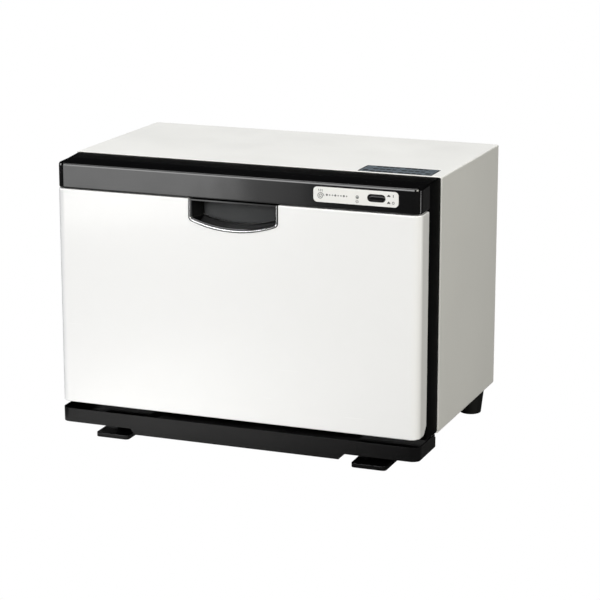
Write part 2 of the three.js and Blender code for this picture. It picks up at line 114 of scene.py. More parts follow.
def addLoft(bm, rings, closed=False):
    # rings of equal length, joined in order; a closed loft comes back to its first ring
    loops = [[bm.verts.new(p) for p in ring] for ring in rings]
    n = len(loops[0])
    for lower, upper in zip(loops, loops[1:] + loops[:1] if closed else loops[1:]):
        for i in range(n):
            j = (i + 1) % n
            bm.faces.new((lower[i], lower[j], upper[j], upper[i]))
    if not closed:
        bm.faces.new(loops[0][::-1])
        bm.faces.new(loops[-1])


def loft(name, axis, outline, levels, closed=False):
    # the outline, a function of its inset, at each inset and level along the axis
    bm = bmesh.new()
    addLoft(bm, [[place(axis, a, b, level) for a, b in outline(inset)] for inset, level in levels], closed)
    return newObject(name, bm)


def prism(name, axis, points, low, high):
    return loft(name, axis, lambda inset: points, [(0, low), (0, high)])


def box(x0, x1, y0, y1, z0, z1, name="cutter"):
    return prism(name, "z", [(x0, y0), (x1, y0), (x1, y1), (x0, y1)], z0, z1)


def lathe(name, axis, a, b, profile, steps=48, closed=False):
    # profile: radius and level pairs from one end of the axis to the other
    return loft(name, axis, lambda r: circle(a, b, r, steps), profile, closed)


def bake(obj):
    # the evaluated shape becomes the object's own mesh
    graph = bpy.context.evaluated_depsgraph_get()
    shown = obj.evaluated_get(graph)
    mesh = bpy.data.meshes.new_from_object(shown, preserve_all_data_layers=True, depsgraph=graph)
    obj.modifiers.clear()
    obj.data = mesh
    mesh.name = obj.name
    return obj


def combine(obj, others, operation="DIFFERENCE"):
    for other in others:
        step = obj.modifiers.new(operation.lower(), "BOOLEAN")
        step.operation, step.object, step.solver = operation, other, "EXACT"
    bake(obj)
    for other in others:
        bpy.data.objects.remove(other)
    return obj


def bevel(obj, width, segments=3, angle=32):
    step = obj.modifiers.new("bevel", "BEVEL")
    step.width, step.segments, step.limit_method = width * mm, segments, "ANGLE"
    step.angle_limit = math.radians(angle)
    return bake(obj)


def tidyFlats(obj):
    # flat faces that a cut left in slivers become one again
    bm = bmesh.new()
    bm.from_mesh(obj.data)
    bmesh.ops.remove_doubles(bm, verts=bm.verts, dist=2e-5)
    bmesh.ops.dissolve_limit(bm, angle_limit=math.radians(0.6), verts=bm.verts, edges=bm.edges)
    bm.to_mesh(obj.data)
    bm.free()


def smooth(obj, angle=32):
    mesh = obj.data
    mesh.shade_smooth()
    mesh.set_sharp_from_angle(angle=math.radians(angle))
    step = obj.modifiers.new("weighted", "WEIGHTED_NORMAL")
    step.keep_sharp, step.weight = True, 90
    return bake(obj)


def join(name, parts):
    bm = bmesh.new()
    for part in parts:
        bm.from_mesh(part.data)
        bpy.data.objects.remove(part)
    return newObject(name, bm, closed=False)


def settle(obj, material, body, *replaced, slot=None):
    obj.data.materials.clear()
    obj.data.materials.append(material)
    for polygon in obj.data.polygons:
        polygon.material_index = 0
    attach(obj, body)
    if replaced:
        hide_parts(*replaced)
    return obj


def newGroup(name, inputs, outputs):
    group = bpy.data.node_groups.new(name, "ShaderNodeTree")
    for label, kind, value in inputs:
        socket = group.interface.new_socket(label, in_out="INPUT", socket_type="NodeSocket" + kind)
        if value is not None:
            socket.default_value = value
    for label, kind in outputs:
        group.interface.new_socket(label, in_out="OUTPUT", socket_type="NodeSocket" + kind)
    return group, group.nodes.new("NodeGroupInput"), group.nodes.new("NodeGroupOutput")


def link(tree, source, target):
    tree.links.new(source, target)


def mathNode(tree, operation, a, b=None, clamp=False):
    node = tree.nodes.new("ShaderNodeMath")
    node.operation, node.use_clamp = operation, clamp
    for socket, value in zip(node.inputs, (a, b)):
        if isinstance(value, (int, float)):
            socket.default_value = value
        elif value is not None:
            link(tree, value, socket)
    return node.outputs[0]


def noiseNode(tree, vector, scale, detail=3.0, rough=0.5):
    node = tree.nodes.new("ShaderNodeTexNoise")
    node.inputs["Detail"].default_value = detail
    node.inputs["Roughness"].default_value = rough
    link(tree, vector, node.inputs["Vector"])
    if isinstance(scale, (int, float)):
        node.inputs["Scale"].default_value = scale
    else:
        link(tree, scale, node.inputs["Scale"])
    return node.outputs["Fac"]


def rangeNode(tree, value, low, high, toLow=0.0, toHigh=1.0):
    node = tree.nodes.new("ShaderNodeMapRange")
    node.inputs["From Min"].default_value, node.inputs["From Max"].default_value = low, high
    link(tree, value, node.inputs["Value"])
    for label, v in (("To Min", toLow), ("To Max", toHigh)):
        if isinstance(v, (int, float)):
            node.inputs[label].default_value = v
        else:
            link(tree, v, node.inputs[label])
    return node.outputs["Result"]


def mixColor(tree, factor, a, b):
    node = tree.nodes.new("ShaderNodeMix")
    node.data_type = "RGBA"
    for label, value in (("Factor_Float", factor), ("A_Color", a), ("B_Color", b)):
        socket = next(s for s in node.inputs if s.identifier == label)
        if isinstance(value, (int, float)):
            socket.default_value = value
        elif isinstance(value, (tuple, list)):
            socket.default_value = (*value[:3], 1)
        else:
            link(tree, value, socket)
    return next(s for s in node.outputs if s.identifier == "Result_Color")


def makeTone():
    # two noise sizes drift a colour towards a second one
    group, given, out = newGroup("toneDrift", [("Vector", "Vector", None), ("Color", "Color", None),
                                              ("Second", "Color", None), ("Scale", "Float", 12.0),
                                              ("Amount", "Float", 0.5)], [("Color", "Color")])
    broad = noiseNode(group, given.outputs["Vector"], given.outputs["Scale"], 2)
    fineScale = mathNode(group, "MULTIPLY", given.outputs["Scale"], 9.0)
    fine = noiseNode(group, given.outputs["Vector"], fineScale, 4)
    both = mathNode(group, "ADD", mathNode(group, "MULTIPLY", broad, 0.7),
                    mathNode(group, "MULTIPLY", fine, 0.3))
    mask = mathNode(group, "MULTIPLY", rangeNode(group, both, 0.3, 0.7), given.outputs["Amount"], clamp=True)
    link(group, mixColor(group, mask, given.outputs["Color"], given.outputs["Second"]), out.inputs["Color"])
    return group


def makeGloss():
    # handling marks: roughness wanders between two values, with faint hairline scratches
    group, given, out = newGroup("handledGloss", [("Vector", "Vector", None), ("Low", "Float", 0.1),
                                                 ("High", "Float", 0.3), ("Scale", "Float", 18.0),
                                                 ("Scratches", "Float", 0.1)], [("Roughness", "Float")])
    smear = noiseNode(group, given.outputs["Vector"], given.outputs["Scale"], 5, 0.6)
    base = rangeNode(group, smear, 0.32, 0.68, given.outputs["Low"], given.outputs["High"])
    turn = group.nodes.new("ShaderNodeMapping")
    turn.inputs["Rotation"].default_value = (0.3, 0.5, 0.7)
    turn.inputs["Scale"].default_value = (14, 700, 700)
    link(group, given.outputs["Vector"], turn.inputs["Vector"])
    hair = noiseNode(group, turn.outputs["Vector"], 1.0, 2)
    marks = mathNode(group, "MULTIPLY", rangeNode(group, hair, 0.68, 0.74), given.outputs["Scratches"])
    link(group, mathNode(group, "ADD", base, marks, clamp=True), out.inputs["Roughness"])
    return group


def makeGrain():
    # raised grain of one size, as a height
    group, given, out = newGroup("grain", [("Vector", "Vector", None), ("Scale", "Float", 900.0),
                                          ("Detail", "Float", 2.0), ("Stretch", "Vector", (1, 1, 1))],
                                 [("Height", "Float")])
    turn = group.nodes.new("ShaderNodeMapping")
    link(group, given.outputs["Vector"], turn.inputs["Vector"])
    link(group, given.outputs["Stretch"], turn.inputs["Scale"])
    node = group.nodes.new("ShaderNodeTexNoise")
    link(group, turn.outputs["Vector"], node.inputs["Vector"])
    link(group, given.outputs["Scale"], node.inputs["Scale"])
    link(group, given.outputs["Detail"], node.inputs["Detail"])
    link(group, node.outputs["Fac"], out.inputs["Height"])
    return group


def makeDust():
    # a thin veil that settles on faces that look up
    group, given, out = newGroup("settledDust", [("Vector", "Vector", None), ("Color", "Color", None),
                                                ("Amount", "Float", 0.1)], [("Color", "Color")])
    geometry = group.nodes.new("ShaderNodeNewGeometry")
    split = group.nodes.new("ShaderNodeSeparateXYZ")
    link(group, geometry.outputs["Normal"], split.inputs["Vector"])
    up = rangeNode(group, split.outputs["Z"], 0.5, 1.0)
    specks = rangeNode(group, noiseNode(group, given.outputs["Vector"], 260.0, 4, 0.7), 0.45, 0.8)
    mask = mathNode(group, "MULTIPLY", mathNode(group, "MULTIPLY", up, specks), given.outputs["Amount"],
                    clamp=True)
    link(group, mixColor(group, mask, given.outputs["Color"], (0.55, 0.54, 0.52)), out.inputs["Color"])
    return group


groups = {"tone": makeTone(), "gloss": makeGloss(), "grain": makeGrain(), "dust": makeDust()}


def placeGroup(tree, key, **values):
    node = tree.nodes.new("ShaderNodeGroup")
    node.node_tree = groups[key]
    for label, value in values.items():
        socket = node.inputs[label]
        if isinstance(value, bpy.types.NodeSocket):
            link(tree, value, socket)
        elif socket.type == "RGBA":
            socket.default_value = (*value[:3], 1)
        else:
            socket.default_value = value
    return node


def finish(name, color, second, toneScale=8.0, toneAmount=0.5, rough=(0.2, 0.3), smearScale=16.0,
           scratches=0.05, grain=900.0, detail=2.0, stretch=(1, 1, 1), depth=0.02, dust=0.0, metallic=0.0,
           coat=0.0, coatRough=0.05, specular=0.5, sheen=0.0):
    # one painted, moulded or plated finish: drifting tone, handled gloss, grain and a little dust
    material = bpy.data.materials.new(name)
    material.use_nodes = True
    tree = material.node_tree
    shader = tree.nodes["Principled BSDF"]
    vector = tree.nodes.new("ShaderNodeTexCoord").outputs["Object"]
    tone = placeGroup(tree, "tone", Vector=vector, Color=color, Second=second, Scale=toneScale,
                      Amount=toneAmount)
    top = tone.outputs["Color"]
    if dust:
        top = placeGroup(tree, "dust", Vector=vector, Color=top, Amount=dust).outputs["Color"]
    link(tree, top, shader.inputs["Base Color"])
    gloss = placeGroup(tree, "gloss", Vector=vector, Low=rough[0], High=rough[1], Scale=smearScale,
                        Scratches=scratches)
    link(tree, gloss.outputs["Roughness"], shader.inputs["Roughness"])
    height = placeGroup(tree, "grain", Vector=vector, Scale=grain, Detail=detail, Stretch=stretch)
    bump = tree.nodes.new("ShaderNodeBump")
    bump.inputs["Distance"].default_value = depth * mm
    bump.inputs["Strength"].default_value = 1.0
    link(tree, height.outputs["Height"], bump.inputs["Height"])
    link(tree, bump.outputs["Normal"], shader.inputs["Normal"])
    shader.inputs["Metallic"].default_value = metallic
    shader.inputs["Specular IOR Level"].default_value = specular
    shader.inputs["Coat Weight"].default_value = coat
    shader.inputs["Coat Roughness"].default_value = coatRough
    shader.inputs["Sheen Weight"].default_value = sheen
    return material


casingPaint = finish("casingPaint", (0.80, 0.80, 0.785), (0.765, 0.765, 0.745), 5, 0.6, (0.34, 0.46), 9, 0.05,
                     1100, 2, depth=0.035, dust=0.05)
doorEnamel = finish("doorEnamel", (0.875, 0.878, 0.885), (0.85, 0.853, 0.858), 4, 0.6, (0.16, 0.26), 8, 0.04,
                    520, 2, depth=0.02, coat=0.3, coatRough=0.08)
glossBlack = finish("glossBlack", (0.002, 0.002, 0.0022), (0.004, 0.004, 0.0044), 9, 0.5, (0.08, 0.15), 14,
                    0.12, 380, 2, depth=0.006)
# a darker, almost unreflective copy of the gloss black: painted shade for the front frame and the edge round
# the pull
frameBlack = finish("frameBlack", (0.0012, 0.0012, 0.0013), (0.002, 0.002, 0.0021), 9, 0.5, (0.3, 0.42), 14,
                    0.05, 600, 2, depth=0.006, specular=0.03)
plateBlack = finish("plateBlack", (0.034, 0.036, 0.038), (0.044, 0.046, 0.048), 16, 0.5, (0.34, 0.44), 26,
                    0.08, 1800, 2, depth=0.02)
trayBlack = finish("trayBlack", (0.002, 0.002, 0.0022), (0.004, 0.004, 0.0043), 10, 0.6, (0.14, 0.19), 18,
                   0.05, 1500, 2, depth=0.006)
footBlack = finish("footBlack", (0.002, 0.002, 0.0022), (0.004, 0.004, 0.0042), 14, 0.6, (0.15, 0.21), 30,
                   0.05, 2600, 3, depth=0.02)
mouldBlack = finish("mouldBlack", (0.014, 0.014, 0.015), (0.024, 0.024, 0.025), 14, 0.6, (0.4, 0.55), 30, 0.1,
                    3000, 3, depth=0.06)
rubberBlack = finish("rubberBlack", (0.004, 0.004, 0.004), (0.010, 0.010, 0.010), 22, 0.7, (0.5, 0.65), 40,
                     0.05, 2200, 5, depth=0.08, dust=0.02, specular=0.3)
sealSilicone = finish("sealSilicone", (0.045, 0.046, 0.049), (0.07, 0.07, 0.072), 26, 0.6, (0.48, 0.62), 40,
                      0.03, 2600, 3, depth=0.05)
zincPlate = finish("zincPlate", (0.52, 0.53, 0.55), (0.40, 0.40, 0.39), 60, 0.7, (0.28, 0.46), 70, 0.15,
                   1600, 4, depth=0.03, metallic=1.0)
brightChrome = finish("brightChrome", (0.86, 0.86, 0.87), (0.78, 0.78, 0.79), 40, 0.4, (0.05, 0.13), 50, 0.1,
                      900, 2, depth=0.003, metallic=1.0)
shelfPlating = finish("shelfPlating", (0.70, 0.71, 0.73), (0.56, 0.57, 0.59), 70, 0.6, (0.12, 0.26), 80, 0.15,
                      1400, 3, depth=0.012, metallic=1.0)
tankAluminium = finish("tankAluminium", (0.66, 0.67, 0.68), (0.56, 0.57, 0.58), 10, 0.6, (0.26, 0.42), 16,
                       0.1, 60, 3, stretch=(14, 1, 14), depth=0.006, metallic=1.0)
plateWhite = finish("plateWhite", (0.84, 0.838, 0.822), (0.80, 0.798, 0.78), 14, 0.5, (0.3, 0.42), 30, 0.05,
                    1800, 2, depth=0.015)
linerWhite = finish("linerWhite", (0.78, 0.778, 0.76), (0.735, 0.73, 0.705), 6, 0.6, (0.24, 0.36), 12, 0.04,
                    900, 2, depth=0.005)
lampLens = finish("lampLens", (0.30, 0.32, 0.31), (0.20, 0.22, 0.21), 400, 0.5, (0.08, 0.15), 300, 0.0,
                  2000, 1, depth=0.004, coat=0.6)
printGrey = finish("printGrey", (0.015, 0.015, 0.016), (0.03, 0.03, 0.03), 300, 0.6, (0.4, 0.5), 200, 0.0,
                   3000, 2, depth=0.004)
printPale = finish("printPale", (0.10, 0.10, 0.105), (0.15, 0.15, 0.15), 300, 0.6, (0.4, 0.5), 200, 0.0, 3000,
                   2, depth=0.004)
filmGrey = finish("filmGrey", (0.115, 0.14, 0.16), (0.09, 0.11, 0.13), 60, 0.7, (0.34, 0.46), 60, 0.05,
                  1500, 2, depth=0.01)
filmInk = finish("filmInk", (0.003, 0.004, 0.006), (0.008, 0.010, 0.013), 300, 0.6, (0.5, 0.6), 100, 0.0,
                 2500, 2, depth=0.004)
feltPale = finish("feltPale", (0.62, 0.59, 0.52), (0.46, 0.43, 0.36), 60, 0.8, (0.9, 1.0), 60, 0.0,
                  1300, 8, stretch=(1, 1, 2.6), depth=0.5, sheen=0.3)
bakelite = finish("bakelite", (0.035, 0.024, 0.018), (0.07, 0.045, 0.03), 90, 0.7, (0.3, 0.45), 60, 0.1,
                  2200, 4, depth=0.04)


def makeHeaterFilm():
    # amber film with a printed conductor that runs to and fro
    material = finish("heaterFilm", (0.42, 0.19, 0.05), (0.34, 0.15, 0.04), 20, 0.5, (0.18, 0.3), 30, 0.05,
                      800, 2, depth=0.01)
    tree = material.node_tree
    shader = tree.nodes["Principled BSDF"]
    base = shader.inputs["Base Color"].links[0].from_socket
    split = tree.nodes.new("ShaderNodeSeparateXYZ")
    link(tree, tree.nodes.new("ShaderNodeTexCoord").outputs["Object"], split.inputs["Vector"])
    wave = mathNode(tree, "SINE", mathNode(tree, "MULTIPLY", split.outputs["Y"], 2 * math.pi / 0.009))
    track = rangeNode(tree, wave, 0.25, 0.4)
    link(tree, mixColor(tree, track, base, (0.10, 0.09, 0.085)), shader.inputs["Base Color"])
    return material


heaterFilm = makeHeaterFilm()
say("finishes made")


def reshape(obj, move):
    # every corner goes to where move(x, y, z) says, in millimetres
    for vertex in obj.data.vertices:
        vertex.co = Vector(move(*(vertex.co / mm))) * mm
    return obj


def frontRounded(half, y0, y1, r, steps=8):
    # a plan with a straight back edge and two rounded front corners
    return ([(-half, y1)] + arc(-half + r, y0 + r, r, 180, 270, steps)
            + arc(half - r, y0 + r, r, 270, 360, steps) + [(half, y1)])


def sided(s, low, high):
    return (low, high) if s > 0 else (-high, -low)


def wire(tree, *rows):
    # rows: source node, its output, target node, its input
    for source, output, target, entry in rows:
        link(tree, source.outputs[output], target.inputs[entry])


def newTree(name, inputs):
    # a geometry tree that ends in one mesh of one material, with the keys of its inputs
    tree = bpy.data.node_groups.new(name, "GeometryNodeTree")
    ids = {}
    for label, kind in inputs:
        ids[label] = tree.interface.new_socket(label, in_out="INPUT",
                                               socket_type="NodeSocket" + kind).identifier
    tree.interface.new_socket("Result", in_out="OUTPUT", socket_type="NodeSocketGeometry")
    given, out = tree.nodes.new("NodeGroupInput"), tree.nodes.new("NodeGroupOutput")
    single, paint = tree.nodes.new("GeometryNodeRealizeInstances"), tree.nodes.new("GeometryNodeSetMaterial")
    wire(tree, (single, "Geometry", paint, "Geometry"), (given, "Material", paint, "Material"),
         (paint, "Geometry", out, "Result"))
    return tree, ids, given, single


def sweepTree():
    # a round bead along a path of edges
    tree, ids, given, single = newTree("sweepAlongPath", (("Path", "Geometry"), ("Radius", "Float"),
                                                          ("Sides", "Int"), ("Material", "Material")))
    curve = tree.nodes.new("GeometryNodeMeshToCurve")
    ring = tree.nodes.new("GeometryNodeCurvePrimitiveCircle")
    bead = tree.nodes.new("GeometryNodeCurveToMesh")
    bead.inputs["Fill Caps"].default_value = True
    wire(tree, (given, "Path", curve, "Mesh"), (given, "Radius", ring, "Radius"),
         (given, "Sides", ring, "Resolution"), (curve, "Curve", bead, "Curve"),
         (ring, "Curve", bead, "Profile Curve"), (bead, "Mesh", single, "Geometry"))
    return tree, ids


def scatterTree():
    # one shape at each point, turned and sized by the points' own attributes
    tree, ids, given, single = newTree("shapeAtPoints", (("Points", "Geometry"), ("Shape", "Object"),
                                                         ("Material", "Material")))
    shape, copies = tree.nodes.new("GeometryNodeObjectInfo"), tree.nodes.new("GeometryNodeInstanceOnPoints")
    turn, size = [tree.nodes.new("GeometryNodeInputNamedAttribute") for _ in range(2)]
    turn.data_type, size.data_type = "FLOAT_VECTOR", "FLOAT"
    turn.inputs["Name"].default_value, size.inputs["Name"].default_value = "turn", "size"
    wire(tree, (given, "Points", copies, "Points"), (given, "Shape", shape, "Object"),
         (shape, "Geometry", copies, "Instance"), (turn, "Attribute", copies, "Rotation"),
         (size, "Attribute", copies, "Scale"), (copies, "Instances", single, "Geometry"))
    return tree, ids


trees = {"sweep": sweepTree(), "scatter": scatterTree()}


def runTree(obj, key, **values):
    tree, ids = trees[key]
    step = obj.modifiers.new(key, "NODES")
    step.node_group = tree
    for label, value in values.items():
        step[ids[label]] = value
    return bake(obj)


def sweep(name, paths, radius, sides, material):
    # paths: lists of points in millimetres, with True beside those that close on themselves
    bm = bmesh.new()
    for points, closed in paths:
        verts = [bm.verts.new(Vector(p) * mm) for p in points]
        for a, b in zip(verts, verts[1:] + verts[:1] if closed else verts[1:]):
            bm.edges.new((a, b))
    obj = newObject(name, bm, closed=False)
    return runTree(obj, "sweep", Radius=radius * mm, Sides=sides, Material=material)


def scatter(name, shape, spots, material):
    # spots: place in millimetres, turn in radians, size
    mesh = bpy.data.meshes.new(name)
    mesh.from_pydata([Vector(p) * mm for p, _, _ in spots], [], [])
    mesh.attributes.new("turn", "FLOAT_VECTOR", "POINT")
    mesh.attributes.new("size", "FLOAT", "POINT")
    for i, (_, angles, scale) in enumerate(spots):
        mesh.attributes["turn"].data[i].vector = angles
        mesh.attributes["size"].data[i].value = scale
    obj = bpy.data.objects.new(name, mesh)
    bpy.context.scene.collection.objects.link(obj)
    runTree(obj, "scatter", Shape=shape, Material=material)
    bpy.data.objects.remove(shape)
    return obj


casingSettings = {"sheet": 1.2, "hem": 1.8, "hemDepth": 8.0, "bend": 2.0, "flange": 12.0, "edge": 0.45,
                  "lip": 4.5, "labelRecess": 0.4, "labelCorner": 1.5}


def makeCasing():
    s = casingSettings
    _, x1, y0, y1, z0, z1 = edges("casing_shell")
    label = edges("info_label")

    def strip(half, low, high, bend, end):
        # from one flange's end, up and over, to the other flange's end
        return ([(-end, low)] + arc(-half + bend, low + bend, bend, 270, 180, 5)
                + arc(-half + bend, high - bend, bend, 180, 90, 5)
                + arc(half - bend, high - bend, bend, 90, 0, 5)
                + arc(half - bend, low + bend, bend, 0, -90, 5) + [(end, low)])

    def section(state):
        inset, thick = state
        end = x1 - s["flange"]
        outside = strip(x1 - inset, z0 + inset, z1 - inset, s["bend"] - inset, end + inset)
        inner = thick - inset
        inside = strip(x1 - inner, z0 + inner, z1 - inner, max(s["bend"] - inner, 0.2), end + inset)
        return outside + inside[::-1]

    hem, sheet = s["hem"], s["sheet"]
    front = [((inset, hem), level) for inset, level in fillets(y0, y1, s["edge"], 0)[:-1]]
    body = [((0, hem), y0 + s["hemDepth"]), ((0, sheet), y0 + s["hemDepth"] + 0.3)]
    rear = [((inset, sheet), level) for inset, level in fillets(y0, y1, 0, s["edge"])[1:]]
    shell = loft("casingShell", "y", section, front + body + rear)
    field = loft("field", "z", insetRect(label[0], label[2], label[1], label[3], s["labelCorner"]),
                 [(-0.3, z1 - s["labelRecess"]), (-0.3, z1 - 0.15), (-0.6, z1 + 0.3)])
    combine(shell, [field])
    flanges = []
    for side in (-1, 1):
        a, b = sided(side, x1 - s["sheet"] - s["flange"], x1 - s["sheet"] + 0.05)
        flanges.append(box(a, b, y1 - s["lip"] - s["sheet"], y1 - s["lip"], z0 + 0.5, z1 - s["sheet"]))
    shell = join("casingShell", [shell] + flanges)
    return settle(smooth(shell, 40), casingPaint, "cabinet", "casing_shell", slot="casing_paint")


makeCasing()

frameSettings = {"drop": 0.4, "wall": 2.4, "edge": 0.35, "lip": 1.2, "corner": 1.6,
                 "mouthCorner": 12.0, "sealOut": 9.0, "slope": 0.036, "spigotTop": 327.8, "spigotWall": 1.8,
                 "armHalf": 2.5, "armReach": 5.5, "catchGap": 0.3}


def makeFrame():
    s = frameSettings
    _, x1, y0, y1, z0, z1 = edges("front_frame")
    z0 -= s["drop"]
    seal, casing, header, tank = [edges(n) for n in ("door_seal", "casing_shell", "control_header",
                                                     "chamber")]
    rimY, faceHalf = casing[2] - 0.3, header[1]
    mouth = (seal[1] - s["sealOut"], seal[4] + s["sealOut"], seal[5] - s["sealOut"])
    sleeveY = tank[2] - 0.3

    def outer(inset, y):
        t = max(0.0, (rimY - y) / (rimY - y0))
        half = x1 + (faceHalf - x1) * t - inset
        high = z1 - s["slope"] * t * (rimY - y0) - inset
        return roundRect(-half, z0 + inset, half, high, s["corner"] - inset / 2)

    def inner(grow, y):
        half, low, high = mouth
        return roundRect(-half - grow, low - grow, half + grow, high + grow, s["mouthCorner"] + grow)

    wall, edge, lip = s["wall"], s["edge"], s["lip"]
    rings = [(outer, 0, rimY)]
    rings += [(outer, i, y) for i, y in reversed(fillets(y0, rimY, edge, 0)[:-1])]
    rings += [(inner, i, y) for i, y in fillets(y0, rimY, lip, 0)[:-1]]
    rings += [(inner, 0, sleeveY), (inner, wall, sleeveY), (inner, wall, y0 + wall), (outer, wall, y0 + wall),
              (outer, wall, rimY)]
    bm = bmesh.new()
    addLoft(bm, [[place("y", a, b, y) for a, b in shape(grow, y)] for shape, grow, y in rings], closed=True)
    made = newObject("frontFrame", bm)
    spigotHalf = casing[1] - 2.1
    rim = lambda inset: roundRect(-spigotHalf + inset, z0 + 4 + inset, spigotHalf - inset,
                                  s["spigotTop"] - inset, 3 - inset / 2)
    levels = [(0, rimY - 3), (0, y1 - 0.4), (0.4, y1), (s["spigotWall"], y1), (s["spigotWall"], rimY - 3)]
    spigot = loft("spigot", "y", rim, levels, closed=True)
    cuts = []
    for name in ("hinge_bracket_left", "hinge_bracket_right"):
        arm, _, middle = centreOf(name)
        half, reach = s["armHalf"], s["armReach"]
        cuts.append(box(arm - half, arm + half, y0 - 1, y0 + wall + 1, middle - reach, middle + reach))
    for name in ("magnet_catch_left", "magnet_catch_right"):
        a, b, _, _, low, high = edges(name)
        gap = s["catchGap"]
        cuts.append(box(a - gap, b + gap, y0 - 1, y0 + wall + 1, low - gap, high + gap))
    combine(made, cuts)
    made = join("frontFrame", [made, spigot])
    # the frame wears the shaded copy of the gloss black: painted shade, not a finish of its own
    return settle(smooth(made), frameBlack, "cabinet", "front_frame", slot="gloss_black")


makeFrame()

headerSettings = {"corner": 9.7, "lean": 17.8, "band": 1.5, "round": 1.5, "lowEdge": 1.6,
                  "wall": 2.2, "panelCorner": 4.6, "panelGap": 0.35}
rockerSettings = {"r": 3.9, "half": 10.1, "edge": 2.9, "tilt": 5.0, "rise": 4.5}
lampRadius = 1.75


def browLevels(top):
    # a narrow band that leans back, then a round edge up to the top
    s = headerSettings
    lean, r = math.radians(s["lean"]), s["round"]
    base, run = top - r * (1 - math.sin(lean)), s["band"] * math.tan(lean)
    out = [(0, base - s["band"] - 0.15), (0.02, base - s["band"]), (run - 0.02, base - 0.06)]
    for k in range(7):
        e = lean + (math.pi / 2 - lean) * k / 6
        out.append((run + r * (math.cos(lean) - math.cos(e)), top - r * (1 - math.sin(e))))
    return out


def headerBody(name, inset, backY, lowEdge, brow=True):
    _, x1, y0, _, z0, _ = edges("control_header")
    rimY = edges("casing_shell")[2]
    top = edges("front_frame")[5]
    corner = headerSettings["corner"] - inset
    block = loft(name, "z", lambda i: frontRounded(x1 - inset - i, y0 + inset + i, backY, corner - i),
                 fillets(z0 + inset, 0, lowEdge, 0)[:-1] + (browLevels(top) if brow else [(0, top - inset)]))
    middle = (z0 + top) / 2
    slope = frameSettings["slope"]
    return reshape(block, lambda x, y, z: (x, y, z - (slope * (rimY - y) if z > middle else 0)))


def stadium(x, z, half, r):
    return roundRect(x - half, z - r, x + half, z + r, r - 0.01, 10)


def makeHeader():
    s, r = headerSettings, rockerSettings
    y0, y1 = edges("control_header")[2:4]
    panel, lamp = edges("control_panel"), edges("power_lamp")
    kx, _, kz = centreOf("switch_rocker")
    lx, _, lz = centreOf("power_lamp")

    def openings(rockerGap, lampGap):
        slot = stadium(kx, kz, r["half"] + rockerGap, r["r"] + rockerGap)
        return [prism("hole", "y", slot, y0 - 2, y0 + 5),
                prism("bore", "y", circle(lx, lz, lampRadius + lampGap), y0 - 2, y0 + 5)]

    made = headerBody("controlHeader", 0, edges("front_frame")[2] - 0.02, s["lowEdge"])
    hollow = headerBody("hollow", s["wall"], y1 + 2, 0.6, brow=False)
    gap = s["panelGap"]
    around = insetRect(panel[0] - gap, panel[4] - gap, panel[1] + gap, panel[5] + gap, s["panelCorner"])
    seat = loft("seat", "y", around,
                [(-0.4, y0 - 1), (-0.4, y0 - 0.2), (0, y0 + 0.3), (0, panel[3] + 0.3)])
    combine(made, [hollow, seat] + openings(0.7, 0.3))
    settle(smooth(made), glossBlack, "cabinet", "control_header", slot="gloss_black")

    plate = loft("controlPanel", "y", insetRect(panel[0], panel[4], panel[1], panel[5], s["panelCorner"], 8),
                 fillets(panel[2], panel[3], 0.25, 0))
    combine(plate, openings(0.5, 0.25))
    settle(smooth(bevel(plate, 0.15, 2)), plateWhite, "cabinet", "control_panel", slot="panel_white")

    # the rocker is softly crowned and stands tilted about its pin
    pivot = edges("control_header")[2] + 4.2
    front = pivot - r["rise"]
    levels = fillets(front, pivot + 2, r["edge"], 0, 7)
    rocker = loft("switchRocker", "y", lambda i: stadium(kx, kz, r["half"] - i, r["r"] - i), levels)
    c, t = math.cos(math.radians(r["tilt"])), math.sin(math.radians(r["tilt"]))
    reshape(rocker, lambda x, y, z: (x, pivot + (y - pivot) * c - (z - kz) * t,
                                     kz + (z - kz) * c + (y - pivot) * t))
    settle(smooth(rocker, 50), glossBlack, "rocker", "switch_rocker", slot="gloss_black")

    dome = [(lampRadius, lamp[3]), (lampRadius, lamp[2] + 0.9)]
    dome += [(lampRadius * math.cos(math.radians(a)), lamp[2] + 0.9 - 0.9 * math.sin(math.radians(a)))
             for a in range(15, 90, 12)]
    lens = smooth(lathe("powerLamp", "y", lx, lz, dome, 32), 50)
    settle(lens, lampLens, "cabinet", "power_lamp", slot="lamp_lens")
    return kx, kz, lx, lz


kx, kz, lx, lz = makeHeader()
say("casing, front frame and header made")


def addRibbon(bm, axis, points, width, low, high, closed=False):
    # a raised line of even width along a flat path
    rings = []
    n = len(points)
    for i, (a, b) in enumerate(points):
        if closed:
            before, after = points[i - 1], points[(i + 1) % n]
        else:
            before, after = points[max(i - 1, 0)], points[min(i + 1, n - 1)]
        da, db = after[0] - before[0], after[1] - before[1]
        size = math.hypot(da, db) or 1.0
        na, nb = -db / size * width / 2, da / size * width / 2
        rings.append([place(axis, a + na, b + nb, low), place(axis, a - na, b - nb, low),
                      place(axis, a - na, b - nb, high), place(axis, a + na, b + nb, high)])
    addLoft(bm, rings, closed)


def addPatch(bm, axis, points, low, high):
    addLoft(bm, [[place(axis, a, b, level) for a, b in points] for level in (low, high)])


symbolSettings = {"raise": 0.05, "sink": 0.1, "line": 0.72, "fine": 0.5, "towelX": 105.0, "towelR": 4.0,
                  "towelDrop": 1.7, "rollPoints": 34, "rollTurn": 0.4, "rollFade": 38, "strokes": 3,
                  "strokePitch": 2, "strokeUp": 3.2, "dots": 8, "dotStart": 7.5, "dotPitch": 3.3, "dotR": 0.8,
                  "ringDrop": 4.9, "ringR": 1.4, "markX": 14.3, "signX": 5.2}


